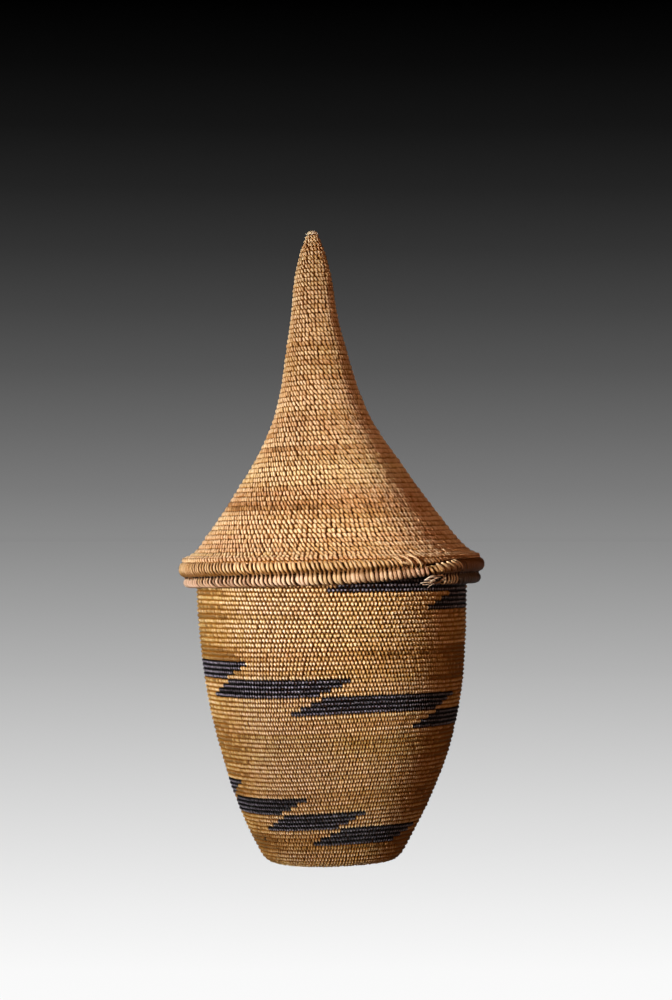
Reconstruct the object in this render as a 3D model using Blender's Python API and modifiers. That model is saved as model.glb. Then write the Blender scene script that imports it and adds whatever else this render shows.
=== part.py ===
"""Coiled basket with a tall pointed lid: a sewn grass coil with dyed stepped blocks and a two-turn rim.

Metres, +Z up. The origin is the centre of the flat underside. The front of the basket faces -Y, and
angles around it are counted from the front, growing towards +X, the way the coil climbs.
"""

import bmesh
import bpy
import numpy as np
from math import atan, ceil, cos, floor, hypot, pi, radians, sin

# The sewn coil
SEAT_GAP = 0.0003
WALL = 0.0025
ROW_PITCH = 0.00198

# Body of the basket
BELLY_RADIUS = 0.0594
FOOT_TAPER = 0.0310
TAPER_HEIGHT = 0.150
TAPER_POWER = 3.1
BODY_HEIGHT = 0.1339
FOOT_ROUND = 0.005
FOOT_FLAT = 0.0021
WHORL_RADIUS = 0.006
EDGE_SOFTENING = 0.0006
BODY_SWAY = 0.0017
SWAY_STOP = 0.0239

# Dyed blocks: each is four rows tall, and the next one starts under its lower right corner
BLOCK_ROWS = 4
BLOCK_THICKNESS = 0.0008
FIRST_BLOCK_DROP = 0.0136
LAST_BLOCK_RISE = 0.004
BLOCK_SLANT = radians(13)
FIRST_BLOCK_START = radians(12)
BLOCK_STEPS_DEGREES = (46, 49, 49, 49, 51, 50, 48, 59, 46, 46, 46, 46, 46, 45, 40, 51)
CUT_OVERRUN = 0.002

# Lid
LID_HEIGHT = 0.1444
LID_TILT = radians(1.0)
LID_LEAN = 0.006
LEAN_START = 0.010
LEAN_RUN = 0.110
SOLID_TIP = 0.0154
KNOT_HEIGHT = 0.0045
LID_OUTLINE_SHARES = (
    (1.000, 0.000), (0.919, 0.018), (0.827, 0.073), (0.652, 0.184), (0.480, 0.294), (0.340, 0.404),
    (0.260, 0.514), (0.208, 0.624), (0.158, 0.734), (0.126, 0.844), (0.088, 0.917), (0.050, 0.969), (0.026, 0.992),
    (0.000, 1.000),
)

# Rim of the lid: one thick coil that goes round twice, brown on its first turn and pale on its second
RIM_CLEARANCE = 0.0011
ROLL_WIDTH = 0.0060
EDGE_STEP = 0.0011
RIM_HEIGHT = 0.0102
BINDING = 0.0006
RIM_START = radians(62)
BROWN_START_TURN = radians(14)
BROWN_END_TURN = radians(360)
PALE_END_TURN = radians(736)
FOUNDATION_START_TURN = radians(50)
FOUNDATION_END_TURN = radians(720)
RIM_STEP_TURN = radians(10)
RIM_FOOT_DEGREES_AND_SHARES = (
    (-45, 0.00), (0, 0.18), (16, 0.25), (62, 0.44), (152, 0.62), (270, 0.62), (345, 0.55), (376, 0.82),
    (422, 0.97), (512, 1.00), (740, 1.00),
)

# How finely round things are divided
TURN_STEPS = 48
ARC_STEPS = 3
WALL_BANDS = 10
BLOCK_COLUMNS = 8
RING_SIDES = 8
ROLL_SIDES = 8
CURVE_SAMPLES = 600
LID_SPAN_STEPS = 2
KNOT_SPAN_STEPS = 4
FINE_SPAN_STEPS = 8
BAND_CROWDING = 1.35
MERGE_DISTANCE = 0.000002
SHARP_ANGLE = radians(40)

LID_RADIUS = BELLY_RADIUS + RIM_CLEARANCE + ROLL_WIDTH - EDGE_STEP

STRAW = (0.47, 0.29, 0.13)
SHADE_STRAW = (0.38, 0.22, 0.09)
DYED_BLACK = (0.035, 0.030, 0.032)
BROWN_SPLINT = (0.42, 0.22, 0.075)
PALE_SPLINT = (0.55, 0.40, 0.24)
DRY_GRASS = (0.45, 0.33, 0.17)


def clear_scene():
    """Empty the scene."""
    for leftover in list(bpy.data.objects):
        bpy.data.objects.remove(leftover, do_unlink=True)


def new_collection(name):
    """A collection in the scene."""
    holder = bpy.data.collections.new(name)
    bpy.context.scene.collection.children.link(holder)
    return holder


def finish(name, colour, roughness):
    """A plain fibre finish in one colour."""
    material = bpy.data.materials.new(name)
    material.use_nodes = True
    shader = material.node_tree.nodes["Principled BSDF"]
    shader.inputs["Base Color"].default_value = (*colour, 1)
    shader.inputs["Roughness"].default_value = roughness
    shader.inputs["Metallic"].default_value = 0
    return material


def add_piece(name, mesh, holder, colour, roughness=0.7, parent=None):
    """An object for a mesh, with a finish of its own."""
    piece = bpy.data.objects.new(name, mesh)
    holder.objects.link(piece)
    piece.data.materials.append(finish(name + "_finish", colour, roughness))
    piece.parent = parent
    return piece


# Outlines


def smooth_step(share):
    """0 below 0, 1 above 1, and a smooth rise between."""
    share = min(max(share, 0), 1)
    return share * share * (3 - 2 * share)


def wall_radius(height):
    """Outer radius of the body: narrow at the foot and nearly upright at the mouth."""
    return BELLY_RADIUS - FOOT_TAPER * max(1 - height / TAPER_HEIGHT, 0) ** TAPER_POWER


def wall_lean(height):
    """Run over rise of the body's outer side."""
    return FOOT_TAPER * TAPER_POWER / TAPER_HEIGHT * max(1 - height / TAPER_HEIGHT, 0) ** (TAPER_POWER - 1)


def body_sway(height):
    """The body stands a little to the right between its foot and its shoulder."""
    return BODY_SWAY * sin(pi * min(max(height / (BODY_HEIGHT - SWAY_STOP), 0), 1))


def lid_lean(height):
    """The spire leans to the left above the skirt."""
    return -LID_LEAN * smooth_step((height - LEAN_START) / LEAN_RUN)


def foot_arc():
    """Centre radius, end height and end angle of the round between the rest face and the wall."""
    end_height = 0
    for _ in range(CURVE_SAMPLES):
        slope = wall_lean(end_height)
        end_height = FOOT_ROUND * (1 - slope / hypot(1, slope))
    end_angle = atan(wall_lean(end_height))
    centre = wall_radius(end_height) - FOOT_ROUND * cos(end_angle)
    return centre, end_height, end_angle


def body_outline(top):
    """Outer side of the wall from the height top down to the flat underside, as (radius, height) pairs."""
    centre, end_height, end_angle = foot_arc()
    outline = []
    for step in range(WALL_BANDS + 1):
        share = (1 - step / WALL_BANDS) ** BAND_CROWDING
        height = end_height + (top - end_height) * share
        outline.append((wall_radius(height), height))
    for step in range(1, ARC_STEPS + 1):
        angle = end_angle + (pi / 2 - end_angle) * step / ARC_STEPS
        outline.append((centre + FOOT_ROUND * cos(angle), FOOT_ROUND * (1 - sin(angle))))
    return outline


def spline_through(points, steps):
    """A smooth line through the points, with steps pieces between each two of them."""
    line = []
    padded = [points[0]] + list(points) + [points[-1]]
    for before, start, end, after in zip(padded, padded[1:], padded[2:], padded[3:]):
        for step in range(steps):
            t = step / steps
            line.append(tuple(
                ((2 * b) + (c - a) * t + (2 * a - 5 * b + 4 * c - d) * t * t + (3 * b - a - 3 * c + d) * t ** 3) / 2
                for a, b, c, d in zip(before, start, end, after)
            ))
    line.append(tuple(points[-1]))
    return line


def lid_outline(steps):
    """Outer side of the lid from its edge up to its tip, as (radius, height above the edge) pairs."""
    sized = [(radius * LID_RADIUS, height * LID_HEIGHT) for radius, height in LID_OUTLINE_SHARES]
    return spline_through(sized, steps)


def lid_radius(height):
    """Outer radius of the lid at this height above its edge."""
    radii, heights = np.array(lid_outline(FINE_SPAN_STEPS)).T
    return float(np.interp(height, heights, radii))


def inner_side(outline, thickness):
    """The same line set in by the thickness, square to itself. The outline runs down its outer side."""
    line = np.array(outline)
    along = np.gradient(line, axis=0)
    along /= np.linalg.norm(along, axis=1)[:, None]
    inward = np.stack([along[:, 1], -along[:, 0]], axis=1)
    return [tuple(point) for point in line + inward * thickness]


# Builders


def turned(name, outline, closed, sway):
    """Mesh of a turned piece, swayed sideways by a function of its height."""
    profile = bmesh.new()
    points = [profile.verts.new((radius, 0, height)) for radius, height in outline]
    pairs = list(zip(points, points[1:]))
    if closed:
        pairs.append((points[-1], points[0]))
    for start, end in pairs:
        profile.edges.new((start, end))
    flat = bpy.data.meshes.new(name + "_profile")
    profile.to_mesh(flat)
    profile.free()
    guide = bpy.data.objects.new(name + "_guide", flat)
    bpy.context.scene.collection.objects.link(guide)
    screw = guide.modifiers.new("Turn", "SCREW")
    screw.angle = 2 * pi
    screw.steps = TURN_STEPS
    screw.render_steps = TURN_STEPS
    screw.use_merge_vertices = True
    screw.merge_threshold = MERGE_DISTANCE
    mesh = bpy.data.meshes.new_from_object(guide.evaluated_get(bpy.context.evaluated_depsgraph_get()))
    mesh.name = name
    bpy.data.objects.remove(guide, do_unlink=True)
    for vertex in mesh.vertices:
        vertex.co.x += sway(vertex.co.z)
    mesh.shade_smooth()
    mesh.set_sharp_from_angle(angle=SHARP_ANGLE)
    return mesh


def no_sway(height):
    """Straight up."""
    return 0


def lofted(name, rings, capped):
    """Tube through the rings, each a list of corners, with flat caps if capped."""
    tube = bmesh.new()
    corners = [[tube.verts.new(corner) for corner in ring] for ring in rings]
    sides = len(corners[0])
    for here, there in zip(corners, corners[1:]):
        for side in range(sides):
            beside = (side + 1) % sides
            tube.faces.new((here[side], here[beside], there[beside], there[side]))
    if capped:
        tube.faces.new(list(reversed(corners[0])))
        tube.faces.new(corners[-1])
    mesh = bpy.data.meshes.new(name)
    tube.to_mesh(mesh)
    tube.free()
    mesh.shade_smooth()
    mesh.set_sharp_from_angle(angle=SHARP_ANGLE)
    return mesh


# Body of the basket


def base_whorl(holder):
    """The tight round knot in the middle of the floor, where the coil starts."""
    outline = [
        (0, WALL), (WHORL_RADIUS - EDGE_SOFTENING, WALL), (WHORL_RADIUS, WALL - EDGE_SOFTENING), (WHORL_RADIUS, 0),
        (0, 0),
    ]
    return add_piece("base_start_whorl", turned("base_start_whorl", outline, False, no_sway), holder, STRAW)


def floor_radius():
    """Radius of the floor coil, inside the flat ring that the wall stands on."""
    centre, _, _ = foot_arc()
    return centre - FOOT_FLAT


def floor_coil(holder):
    """The flat part of the coil, round the start."""
    hole = WHORL_RADIUS + SEAT_GAP
    outline = [(hole, WALL), (floor_radius(), WALL), (floor_radius(), 0), (hole, 0)]
    return add_piece("floor_coil", turned("floor_coil", outline, True, no_sway), holder, SHADE_STRAW)


def wall_top():
    """Height of the wall under the mouth coil."""
    return BODY_HEIGHT - WALL - SEAT_GAP


def wall_coil(holder, pockets):
    """The side of the basket, turned up from the floor, with a shallow pocket for each dyed block."""
    outer = body_outline(wall_top())
    inner = inner_side(outer, WALL)
    inner[0] = (inner[0][0], wall_top())
    inside_foot = floor_radius() + SEAT_GAP
    outline = outer + [(inside_foot, 0), (inside_foot, WALL)] + list(reversed(inner))
    piece = add_piece("wall_coil", turned("wall_coil", outline, True, body_sway), holder, STRAW)
    cut = piece.modifiers.new("Pockets", "BOOLEAN")
    cut.operation = "DIFFERENCE"
    cut.operand_type = "COLLECTION"
    cut.collection = pockets
    cut.solver = "EXACT"
    return piece


def mouth_centre():
    """Radius and height of the middle of the mouth coil."""
    return wall_radius(BODY_HEIGHT) - WALL / 2, BODY_HEIGHT - WALL / 2


def mouth_coil(holder):
    """The finishing round at the mouth, which the lid sits on."""
    centre, height = mouth_centre()
    outline = []
    for side in range(RING_SIDES):
        angle = pi / 2 - pi * (2 * side + 1) / RING_SIDES
        outline.append((centre + WALL / 2 * cos(angle), height + WALL / 2 * sin(angle)))
    return add_piece("mouth_coil", turned("mouth_coil", outline, True, body_sway), holder, SHADE_STRAW)


class WallLadder:
    """Distances along the outer side of the wall, measured up from its foot."""

    def __init__(self):
        self.heights = np.linspace(0, BODY_HEIGHT, CURVE_SAMPLES)
        radii = np.array([wall_radius(height) for height in self.heights])
        steps = np.hypot(np.diff(radii), np.diff(self.heights))
        self.distances = np.concatenate([[0], np.cumsum(steps)])

    def height_at(self, distance):
        """Height of the point that lies this distance up the wall."""
        return float(np.interp(distance, self.distances, self.heights))

    def distance_at(self, height):
        """Distance up the wall of this height."""
        return float(np.interp(height, self.heights, self.distances))


def block_count(ladder):
    """As many blocks as fit down the wall."""
    way = ladder.distance_at(BODY_HEIGHT - FIRST_BLOCK_DROP) - ladder.distance_at(LAST_BLOCK_RISE)
    return 1 + floor(way / (BLOCK_ROWS * ROW_PITCH))


def block_corners(count):
    """Angle of the upper left corner and of the lower right corner of each dyed block."""
    corners = [FIRST_BLOCK_START]
    for number in range(count):
        corners.append(corners[-1] + radians(BLOCK_STEPS_DEGREES[number % len(BLOCK_STEPS_DEGREES)]))
    return list(zip(corners, corners[1:]))


def block_sheet(name, number, ladder, grow, lift):
    """Open sheet with the slanted outline of one dyed block, grown at its edges and lifted off the wall."""
    start, end = block_corners(number + 1)[number]
    first_end = block_corners(1)[0][1]
    tall = BLOCK_ROWS * ROW_PITCH
    foot = ladder.distance_at(BODY_HEIGHT - FIRST_BLOCK_DROP) - number * tall
    radius = wall_radius(ladder.height_at(foot + tall / 2))
    sideways = grow / radius * hypot(1, BLOCK_SLANT * radius / tall)
    sheet = bmesh.new()
    bmesh.ops.create_grid(sheet, x_segments=BLOCK_COLUMNS, y_segments=2, size=1)
    for vertex in sheet.verts:
        across = (vertex.co.x + 1) / 2
        up = (vertex.co.y + 1) / 2
        left = start - BLOCK_SLANT * (1 - up) - sideways
        right = end + BLOCK_SLANT * up + sideways
        angle = left + (right - left) * across
        climb = ROW_PITCH * (angle - first_end) / (2 * pi)
        height = ladder.height_at(foot + climb + tall * up + grow * (2 * up - 1))
        facing_down = atan(wall_lean(height))
        reach = wall_radius(height) + lift * cos(facing_down)
        across_body = body_sway(height)
        vertex.co = (reach * sin(angle) + across_body, -reach * cos(angle), height - lift * sin(facing_down))
    bmesh.ops.triangulate(sheet, faces=sheet.faces, quad_method="SHORT_EDGE")
    mesh = bpy.data.meshes.new(name)
    sheet.to_mesh(mesh)
    sheet.free()
    return mesh


def thicken(piece, thickness):
    """Give an open sheet its thickness, inward from where it lies."""
    shell = piece.modifiers.new("Thickness", "SOLIDIFY")
    shell.thickness = thickness
    shell.offset = -1
    shell.use_even_offset = True


def dyed_blocks(holder, pockets):
    """The dyed stepped band: one block after another round the wall, each in its pocket."""
    ladder = WallLadder()
    for number in range(block_count(ladder)):
        name = f"dark_block_{number + 1:02d}"
        sheet = block_sheet(name, number, ladder, -SEAT_GAP / 2, 0)
        thicken(add_piece(name, sheet, holder, DYED_BLACK, 0.55), BLOCK_THICKNESS)
        outline = block_sheet(name + "_pocket", number, ladder, SEAT_GAP / 2, CUT_OVERRUN)
        pocket = bpy.data.objects.new(name + "_pocket", outline)
        pocket.hide_render = True
        pocket.display_type = "WIRE"
        pockets.objects.link(pocket)
        thicken(pocket, CUT_OVERRUN + BLOCK_THICKNESS + SEAT_GAP)


# Lid


def lid_seat():
    """How far the mouth coil's middle lies below the lid's edge when the tilted lid rests on it."""
    line = inner_side(list(reversed(lid_outline(CURVE_SAMPLES // len(LID_OUTLINE_SHARES)))), WALL)
    centre, _ = mouth_centre()
    reach = WALL / 2 + SEAT_GAP
    seats = [
        height - (reach ** 2 - (radius - centre) ** 2) ** 0.5
        for radius, height in line if abs(radius - centre) < reach
    ]
    return -min(seats) + centre * sin(LID_TILT)


def lid_holder(holder):
    """The empty that the lid's pieces hang from, on the axis along which the lid lifts."""
    _, height = mouth_centre()
    empty = bpy.data.objects.new("lid_axis", None)
    empty.location = (0, 0, height + lid_seat())
    empty.rotation_euler = (0, -LID_TILT, 0)
    holder.objects.link(empty)
    return empty


def lid_coil(holder, axis):
    """The lid's own coil: a hollow spire that flares into a skirt."""
    knot_foot = LID_HEIGHT - KNOT_HEIGHT - SEAT_GAP
    line = [point for point in lid_outline(LID_SPAN_STEPS) if point[1] < knot_foot]
    outer = [(0, knot_foot), (lid_radius(knot_foot), knot_foot)] + list(reversed(line))
    ceiling = LID_HEIGHT - SOLID_TIP
    inner = [point for point in inner_side(list(reversed(line)), WALL) if point[1] < ceiling]
    inner = inner[:-1:2] + [inner[-1]]
    outline = outer + list(reversed(inner)) + [(inner[0][0] / 2, ceiling), (0, ceiling)]
    return add_piece("lid_coil", turned("lid_coil", outline, False, lid_lean), holder, STRAW, parent=axis)


def lid_knot(holder, axis):
    """The little knot at the very tip, where the lid's coil starts."""
    foot = LID_HEIGHT - KNOT_HEIGHT
    line = [point for point in lid_outline(KNOT_SPAN_STEPS) if point[1] > foot]
    outline = list(reversed(line)) + [(lid_radius(foot), foot), (0, foot)]
    return add_piece("lid_start_knot", turned("lid_start_knot", outline, False, lid_lean), holder, PALE_SPLINT,
                     parent=axis)


def rim_foot_share(turn):
    """Underside of the rim coil after this much turn, as a share of the rim's height, eased along the turn."""
    places = [radians(place) for place, _ in RIM_FOOT_DEGREES_AND_SHARES]
    shares = [share for _, share in RIM_FOOT_DEGREES_AND_SHARES]
    nearby = [turn + RIM_STEP_TURN * step for step in (-2, -1, 0, 1, 2)]
    return float(np.mean(np.interp(nearby, places, shares)))


def rim_level():
    """Height of the rim's top, just under the lowest point of the lid's coil, from the lid's edge."""
    line = inner_side(list(reversed(lid_outline(LID_SPAN_STEPS))), WALL)
    return min(height for _, height in line) - SEAT_GAP / 2


def rim_span(turn):
    """Top and underside of the rim coil after this much turn: its top lies under the turn before."""
    top = rim_level() - RIM_HEIGHT * rim_foot_share(turn - 2 * pi)
    foot = rim_level() - RIM_HEIGHT * rim_foot_share(turn)
    return top - SEAT_GAP / 2, foot + SEAT_GAP / 2


def rim_rings(start, end, sides, inset):
    """Rings of the rim coil between two turns, each set in by the inset, for a tube through them."""
    inner_edge = BELLY_RADIUS + RIM_CLEARANCE
    between = range(floor(start / RIM_STEP_TURN) + 1, ceil(end / RIM_STEP_TURN))
    rings = []
    for turn in [start] + [RIM_STEP_TURN * step for step in between] + [end]:
        top, foot = rim_span(turn)
        half_height = (top - foot) / 2 - inset
        half_width = ROLL_WIDTH / 2 - inset
        centre = inner_edge + ROLL_WIDTH / 2
        angle = RIM_START - turn
        ring = []
        for side in range(sides):
            corner = 2 * pi * side / sides
            radius = centre + half_width * cos(corner)
            ring.append((radius * sin(angle), -radius * cos(angle), (top + foot) / 2 + half_height * sin(corner)))
        rings.append(ring)
    return rings


def rim_coil(holder, axis):
    """The rim: one bundle of grass that goes round nearly twice, bound in brown and then in pale splint."""
    lengths = (
        ("brown_rim_binding", BROWN_START_TURN, BROWN_END_TURN, BROWN_SPLINT),
        ("pale_rim_binding", BROWN_END_TURN + SEAT_GAP / LID_RADIUS, PALE_END_TURN, PALE_SPLINT),
    )
    for name, start, end, colour in lengths:
        mesh = lofted(name, rim_rings(start, end, ROLL_SIDES, 0), False)
        thicken(add_piece(name, mesh, holder, colour, 0.6, axis), BINDING)
    rings = rim_rings(FOUNDATION_START_TURN, FOUNDATION_END_TURN, ROLL_SIDES, BINDING + SEAT_GAP)
    add_piece("rim_foundation", lofted("rim_foundation", rings, True), holder, DRY_GRASS, 0.9, axis)


def main():
    """Build the basket and its lid."""
    clear_scene()
    basket = new_collection("coiled_basket")
    pockets = new_collection("pocket_cutters")
    base_whorl(basket)
    floor_coil(basket)
    wall_coil(basket, pockets)
    mouth_coil(basket)
    dyed_blocks(basket, pockets)
    axis = lid_holder(basket)
    lid_coil(basket, axis)
    lid_knot(basket, axis)
    rim_coil(basket, axis)


if __name__ == "__main__":
    main()
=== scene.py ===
"""Coiled basket with a tall pointed lid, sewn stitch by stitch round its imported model.

Metres, +Z up, the front facing -Y. Angles round the basket are counted from the front, growing towards
+X, the way the coil climbs. A row of the coil is one turn of it.
"""

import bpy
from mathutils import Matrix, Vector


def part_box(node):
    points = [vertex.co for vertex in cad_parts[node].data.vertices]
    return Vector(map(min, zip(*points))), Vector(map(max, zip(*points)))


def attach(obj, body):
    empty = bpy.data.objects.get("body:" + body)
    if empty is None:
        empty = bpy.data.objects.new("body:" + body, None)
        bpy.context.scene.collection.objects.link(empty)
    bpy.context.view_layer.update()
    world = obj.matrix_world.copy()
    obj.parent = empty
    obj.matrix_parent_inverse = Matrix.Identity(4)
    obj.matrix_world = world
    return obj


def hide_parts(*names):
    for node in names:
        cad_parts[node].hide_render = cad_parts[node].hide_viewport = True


bl_info = {
    "name": "Coiled Basket",
    "version": (1, 0, 0),
    "blender": (4, 5, 0),
    "location": "View3D > Sidebar > Basket",
    "description": "Sews a lidded coiled basket round its packed model and sets it in a plain studio",
    "category": "Add Mesh",
}

from math import atan, ceil, cos, floor, hypot, pi, radians, sin

import bpy
import numpy as np

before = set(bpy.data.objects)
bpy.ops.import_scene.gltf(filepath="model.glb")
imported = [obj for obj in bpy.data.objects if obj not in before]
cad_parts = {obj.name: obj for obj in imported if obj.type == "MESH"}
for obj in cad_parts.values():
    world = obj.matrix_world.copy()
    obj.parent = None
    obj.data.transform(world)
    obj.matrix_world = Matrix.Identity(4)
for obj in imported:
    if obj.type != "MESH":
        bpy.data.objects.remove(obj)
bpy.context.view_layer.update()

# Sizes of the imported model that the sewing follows
WALL = 0.0025
ROW_PITCH = 0.00198
BELLY_RADIUS = 0.0594
FOOT_TAPER = 0.0310
TAPER_HEIGHT = 0.150
TAPER_POWER = 3.1
BODY_HEIGHT = 0.1339
FOOT_ROUND = 0.0085
BODY_SWAY = 0.0017
SWAY_STOP = 0.0239
BLOCK_ROWS = 4
BLOCK_COUNT = 16
FIRST_BLOCK_DROP = 0.0136
FIRST_BLOCK_RUNS_ON = radians(24)
BLOCK_SLANT = radians(13)
STEEPER_ENDS = 1.4
FIRST_BLOCK_START = radians(12)
BLOCK_STEPS_DEGREES = (46, 49, 49, 49, 51, 50, 48, 59, 46, 46, 46, 46, 46, 45, 36, 47)
LID_RADIUS = 0.0654
LID_HEIGHT = 0.1444
LID_TILT = radians(1.0)
LID_LEAN = 0.006
LEAN_START = 0.010
LEAN_RUN = 0.110
SOLID_TIP = 0.0154
TIP_CAP_SHARE = 0.984
LID_OUTLINE_SHARES = (
    (1.000, 0.000), (0.919, 0.018), (0.815, 0.073), (0.642, 0.184), (0.484, 0.294), (0.343, 0.404),
    (0.260, 0.514), (0.208, 0.624), (0.159, 0.734), (0.129, 0.844), (0.093, 0.917), (0.054, 0.969),
    (0.026, 0.992), (0.000, 1.000),
)
SKIRT_SHIFT = 0.0007
SKIRT_SHIFT_RUN = 0.012
EDGE_DEPTH = 0.0023
RIM_INNER_RADIUS = 0.0605
ROLL_WIDTH = 0.0060
RIM_HEIGHT = 0.0117
RIM_DROP = 0.0012
RIM_BELLY = 0.0010
RIM_BELLY_SHARE = 0.34
RIM_BELLY_SPREAD = 0.32
RIM_ROUNDNESS = 2.1
RIM_START = radians(62)
BROWN_START_TURN = radians(-2)
BROWN_END_TURN = radians(384)
PALE_END_TURN = radians(736)
RIM_FOOT_DEGREES_AND_SHARES = (
    (-45, 0.00), (-2, 0.00), (11, 0.13), (24, 0.28), (37, 0.33), (50, 0.41), (62, 0.46), (152, 0.62),
    (270, 0.62), (345, 0.55), (371, 0.55), (384, 0.66), (397, 0.80), (410, 0.87), (422, 0.93), (512, 1.00),
    (740, 1.00),
)
# Low rows of the body rise towards the right, most of all just over the foot
LOW_ROWS_RISE = 0.0026
RISE_LEFT_END = -0.034
RISE_WIDTH = 0.058
RISE_AT_FOOT_SHARE = 0.3
RISE_FULL_HEIGHT = 0.016
RISE_FADE_START = 0.035
RISE_FADE_RUN = 0.085

# Where the body's stitches grow wider, and where the lid's stitches and rows grow finer
WIDENING_DROP = 0.062
WIDENING_RUN = 0.050
LID_NARROWING_SHARE = 0.13
NARROWING_START = 0.020
NARROWING_RUN = 0.03
SPIRE_START = 0.035
SPIRE_RUN = 0.085
LID_COIL_START = radians(40)

# The lid's turned-in edge: out from its radius, and its depth as a share of the edge's
LID_EDGE_POINTS = ((-0.0040, 1.35), (-0.0010, 1.0), (0.0, 0.7), (0.0003, 0.35))

# The bundle lies this far under the beds of the stitches, and the coil's inner side this far off the wall's
BUNDLE_GAP = 0.0002
INSIDE_GAP = 0.0003
LEAST_RADIUS = 0.0004
LEAST_STITCHES = 6

# Unevenness of the handwork: waves, their radians a metre along the wall, and the radius where it fades
STRAY_WAVES = 6
STRAY_TURNS, STRAY_TURNS_STEP = 60, 34
STRAY_FULL_RADIUS = 0.03

# How much stitches differ, as shares: their width, length, place in the row, slant, place aside and height
ODD_WIDTH, ODD_LENGTH, ODD_PLACE, ODD_SLANT, ODD_SIDE, ODD_HEIGHT = 0.05, 0.05, 0.03, 0.16, 0.03, 0.09
ODD_TURN = 0.04

# How much strands, longer spells of work and single stitches differ in tone and warmth
STRAND_SPREAD, SPELL_SPREAD, STITCH_SPREAD = 0.65, 0.6, 0.5

# Where dice and waves start
BODY_WAVES, LID_WAVES, WALL_SEED, MOUTH_SEED, LID_SEED, RIM_SEED = 3, 8, 11, 5, 23, 31

LAST_WRAP_TURN = radians(725)

# Painted light and shade round the body: lighter at the middle left, where the lamps fall most, and darker
# towards the right and at both outer sides; middle and reach in degrees round it, tone and warmth
SIDE_LIGHT_AND_SHADE = ((-84, 52, -3.0, -1.2), (-20, 34, 0.7, 0.7), (32, 30, -0.7, 0.4), (82, 40, -3.0, 0.4))
# Painted light on the lid's right side: middle and reach in degrees round it, tone and warmth
LID_SIDE_LIGHT = ((66, 36, 0.8, 0.6),)

# Bands of rows round the lid: middle and reach above its edge, tone and warmth
LID_BANDS = (
    (0.0085, 0.006, -0.5, 1.0), (0.0250, 0.010, -0.6, 1.3), (0.0400, 0.006, 0.5, -1.2),
    (0.0580, 0.006, -0.8, 0.3),
)

# Tone and warmth of the rim's splints between turns: from and to in degrees of turn, ease, tone and warmth
# Brown turn: the first two spans are painted shade where the rim turns to the right and back, the third a
# worn patch lightened as painted highlight, the last a golden run
BROWN_TONES = (
    (-20, 24, 12, -2.6, 1.2), (296, 376, 12, -4.4, 0.6), (68, 106, 8, 2.2, 1.0), (374, 400, 6, 0.4, -1.0))
# Pale turn: the first span is painted shade where the rim turns to the right; the other two are duller runs
PALE_TONES = (
    (664, 728, 6, -6.6, 0.4), (384, 436, 16, -0.8, -1.8), (440, 548, 24, -0.9, 0.0))

# Loose splints on the rim: along each, its angle in degrees and its millimetres under the edge and proud
# of the rim; then its radius in millimetres, tone and warmth
RIM_STRAYS = (
    (((22.8, 0.2, -0.6), (25.2, 1.2, 0.2), (26.0, 2.6, 0.4), (26.2, 4.4, -0.2)), 0.38, 0.2, -0.8),
    (((26.6, -0.2, -0.8), (28.9, 1.2, 0.2), (30.0, 3.0, 0.5), (30.3, 5.2, -0.1)), 0.42, 1.0, -0.6),
    (((29.8, -0.6, -0.8), (32.4, 1.0, 0.2), (33.7, 3.0, 0.5), (34.2, 5.4, -0.1)), 0.42, 1.0, -0.6),
    (((25.6, 2.6, 0.0), (27.2, 2.9, 0.4), (28.6, 3.2, 0.4), (30.0, 3.4, 0.0)), 0.62, -0.6, -1.0),
    (((51.6, 2.0, -0.2), (53.4, 3.0, 0.4), (54.8, 4.4, 0.6), (56.4, 6.2, 0.1)), 0.34, 2.6, 0.0),
    (((41.2, 3.6, 0.0), (42.4, 4.6, 0.5), (43.6, 5.8, 0.6), (44.0, 7.0, 0.0)), 0.62, 0.6, -0.8),
    (((43.8, 3.2, 0.0), (45.2, 4.2, 0.5), (46.6, 5.2, 0.6), (47.4, 6.6, 0.0)), 0.66, 0.8, -0.8),
    (((46.8, 2.8, 0.0), (48.2, 3.8, 0.5), (49.8, 4.9, 0.6), (50.8, 6.2, 0.0)), 0.66, 0.4, -0.8),
    (((49.6, 2.4, 0.0), (51.0, 3.4, 0.5), (52.8, 4.5, 0.6), (54.0, 5.8, 0.0)), 0.60, 0.0, -0.6),
    (((41.6, 8.8, 0.0), (44.6, 8.6, 0.8), (45.8, 10.2, 1.0), (44.2, 11.9, 0.8), (41.8, 11.6, 0.2),
      (41.2, 9.8, 0.3)), 0.42, -3.0, 1.6),
)
SPLICE_ENDS = (
    (((45.0, 9.6, -0.6), (42.6, 9.4, 0.5), (40.6, 10.2, 0.9), (39.2, 11.2, 0.8)), 0.32, 1.8, 0.0),
    (((44.0, 10.2, -0.6), (41.2, 9.2, 0.5), (38.6, 9.2, 1.0), (36.4, 9.8, 1.2)), 0.36, 2.2, 0.0),
    (((43.0, 10.8, -0.6), (40.6, 10.6, 0.4), (38.2, 10.2, 0.9), (36.0, 10.4, 0.9)), 0.40, 2.2, 0.4),
    (((43.0, 11.2, -0.6), (40.0, 11.4, 0.4), (37.6, 11.4, 0.7), (35.0, 11.8, 0.9)), 0.30, 1.4, 0.0),
    (((44.4, 11.4, -0.6), (42.4, 11.9, 0.4), (41.0, 12.6, 0.6), (40.4, 13.6, 0.6)), 0.24, 1.0, 0.6),
    (((42.4, 9.4, -0.4), (40.6, 8.6, 0.5), (39.0, 8.8, 0.8), (37.6, 9.2, 0.7)), 0.26, 0.6, -0.6),
    (((41.8, 11.6, -0.5), (39.6, 12.2, 0.5), (38.0, 12.5, 0.5), (36.6, 12.4, 0.5)), 0.22, 0.4, 0.4),
)

LID_EDGE_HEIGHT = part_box("lid_start_knot")[1].z - LID_HEIGHT * cos(LID_TILT) + LID_LEAN * sin(LID_TILT)

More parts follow.
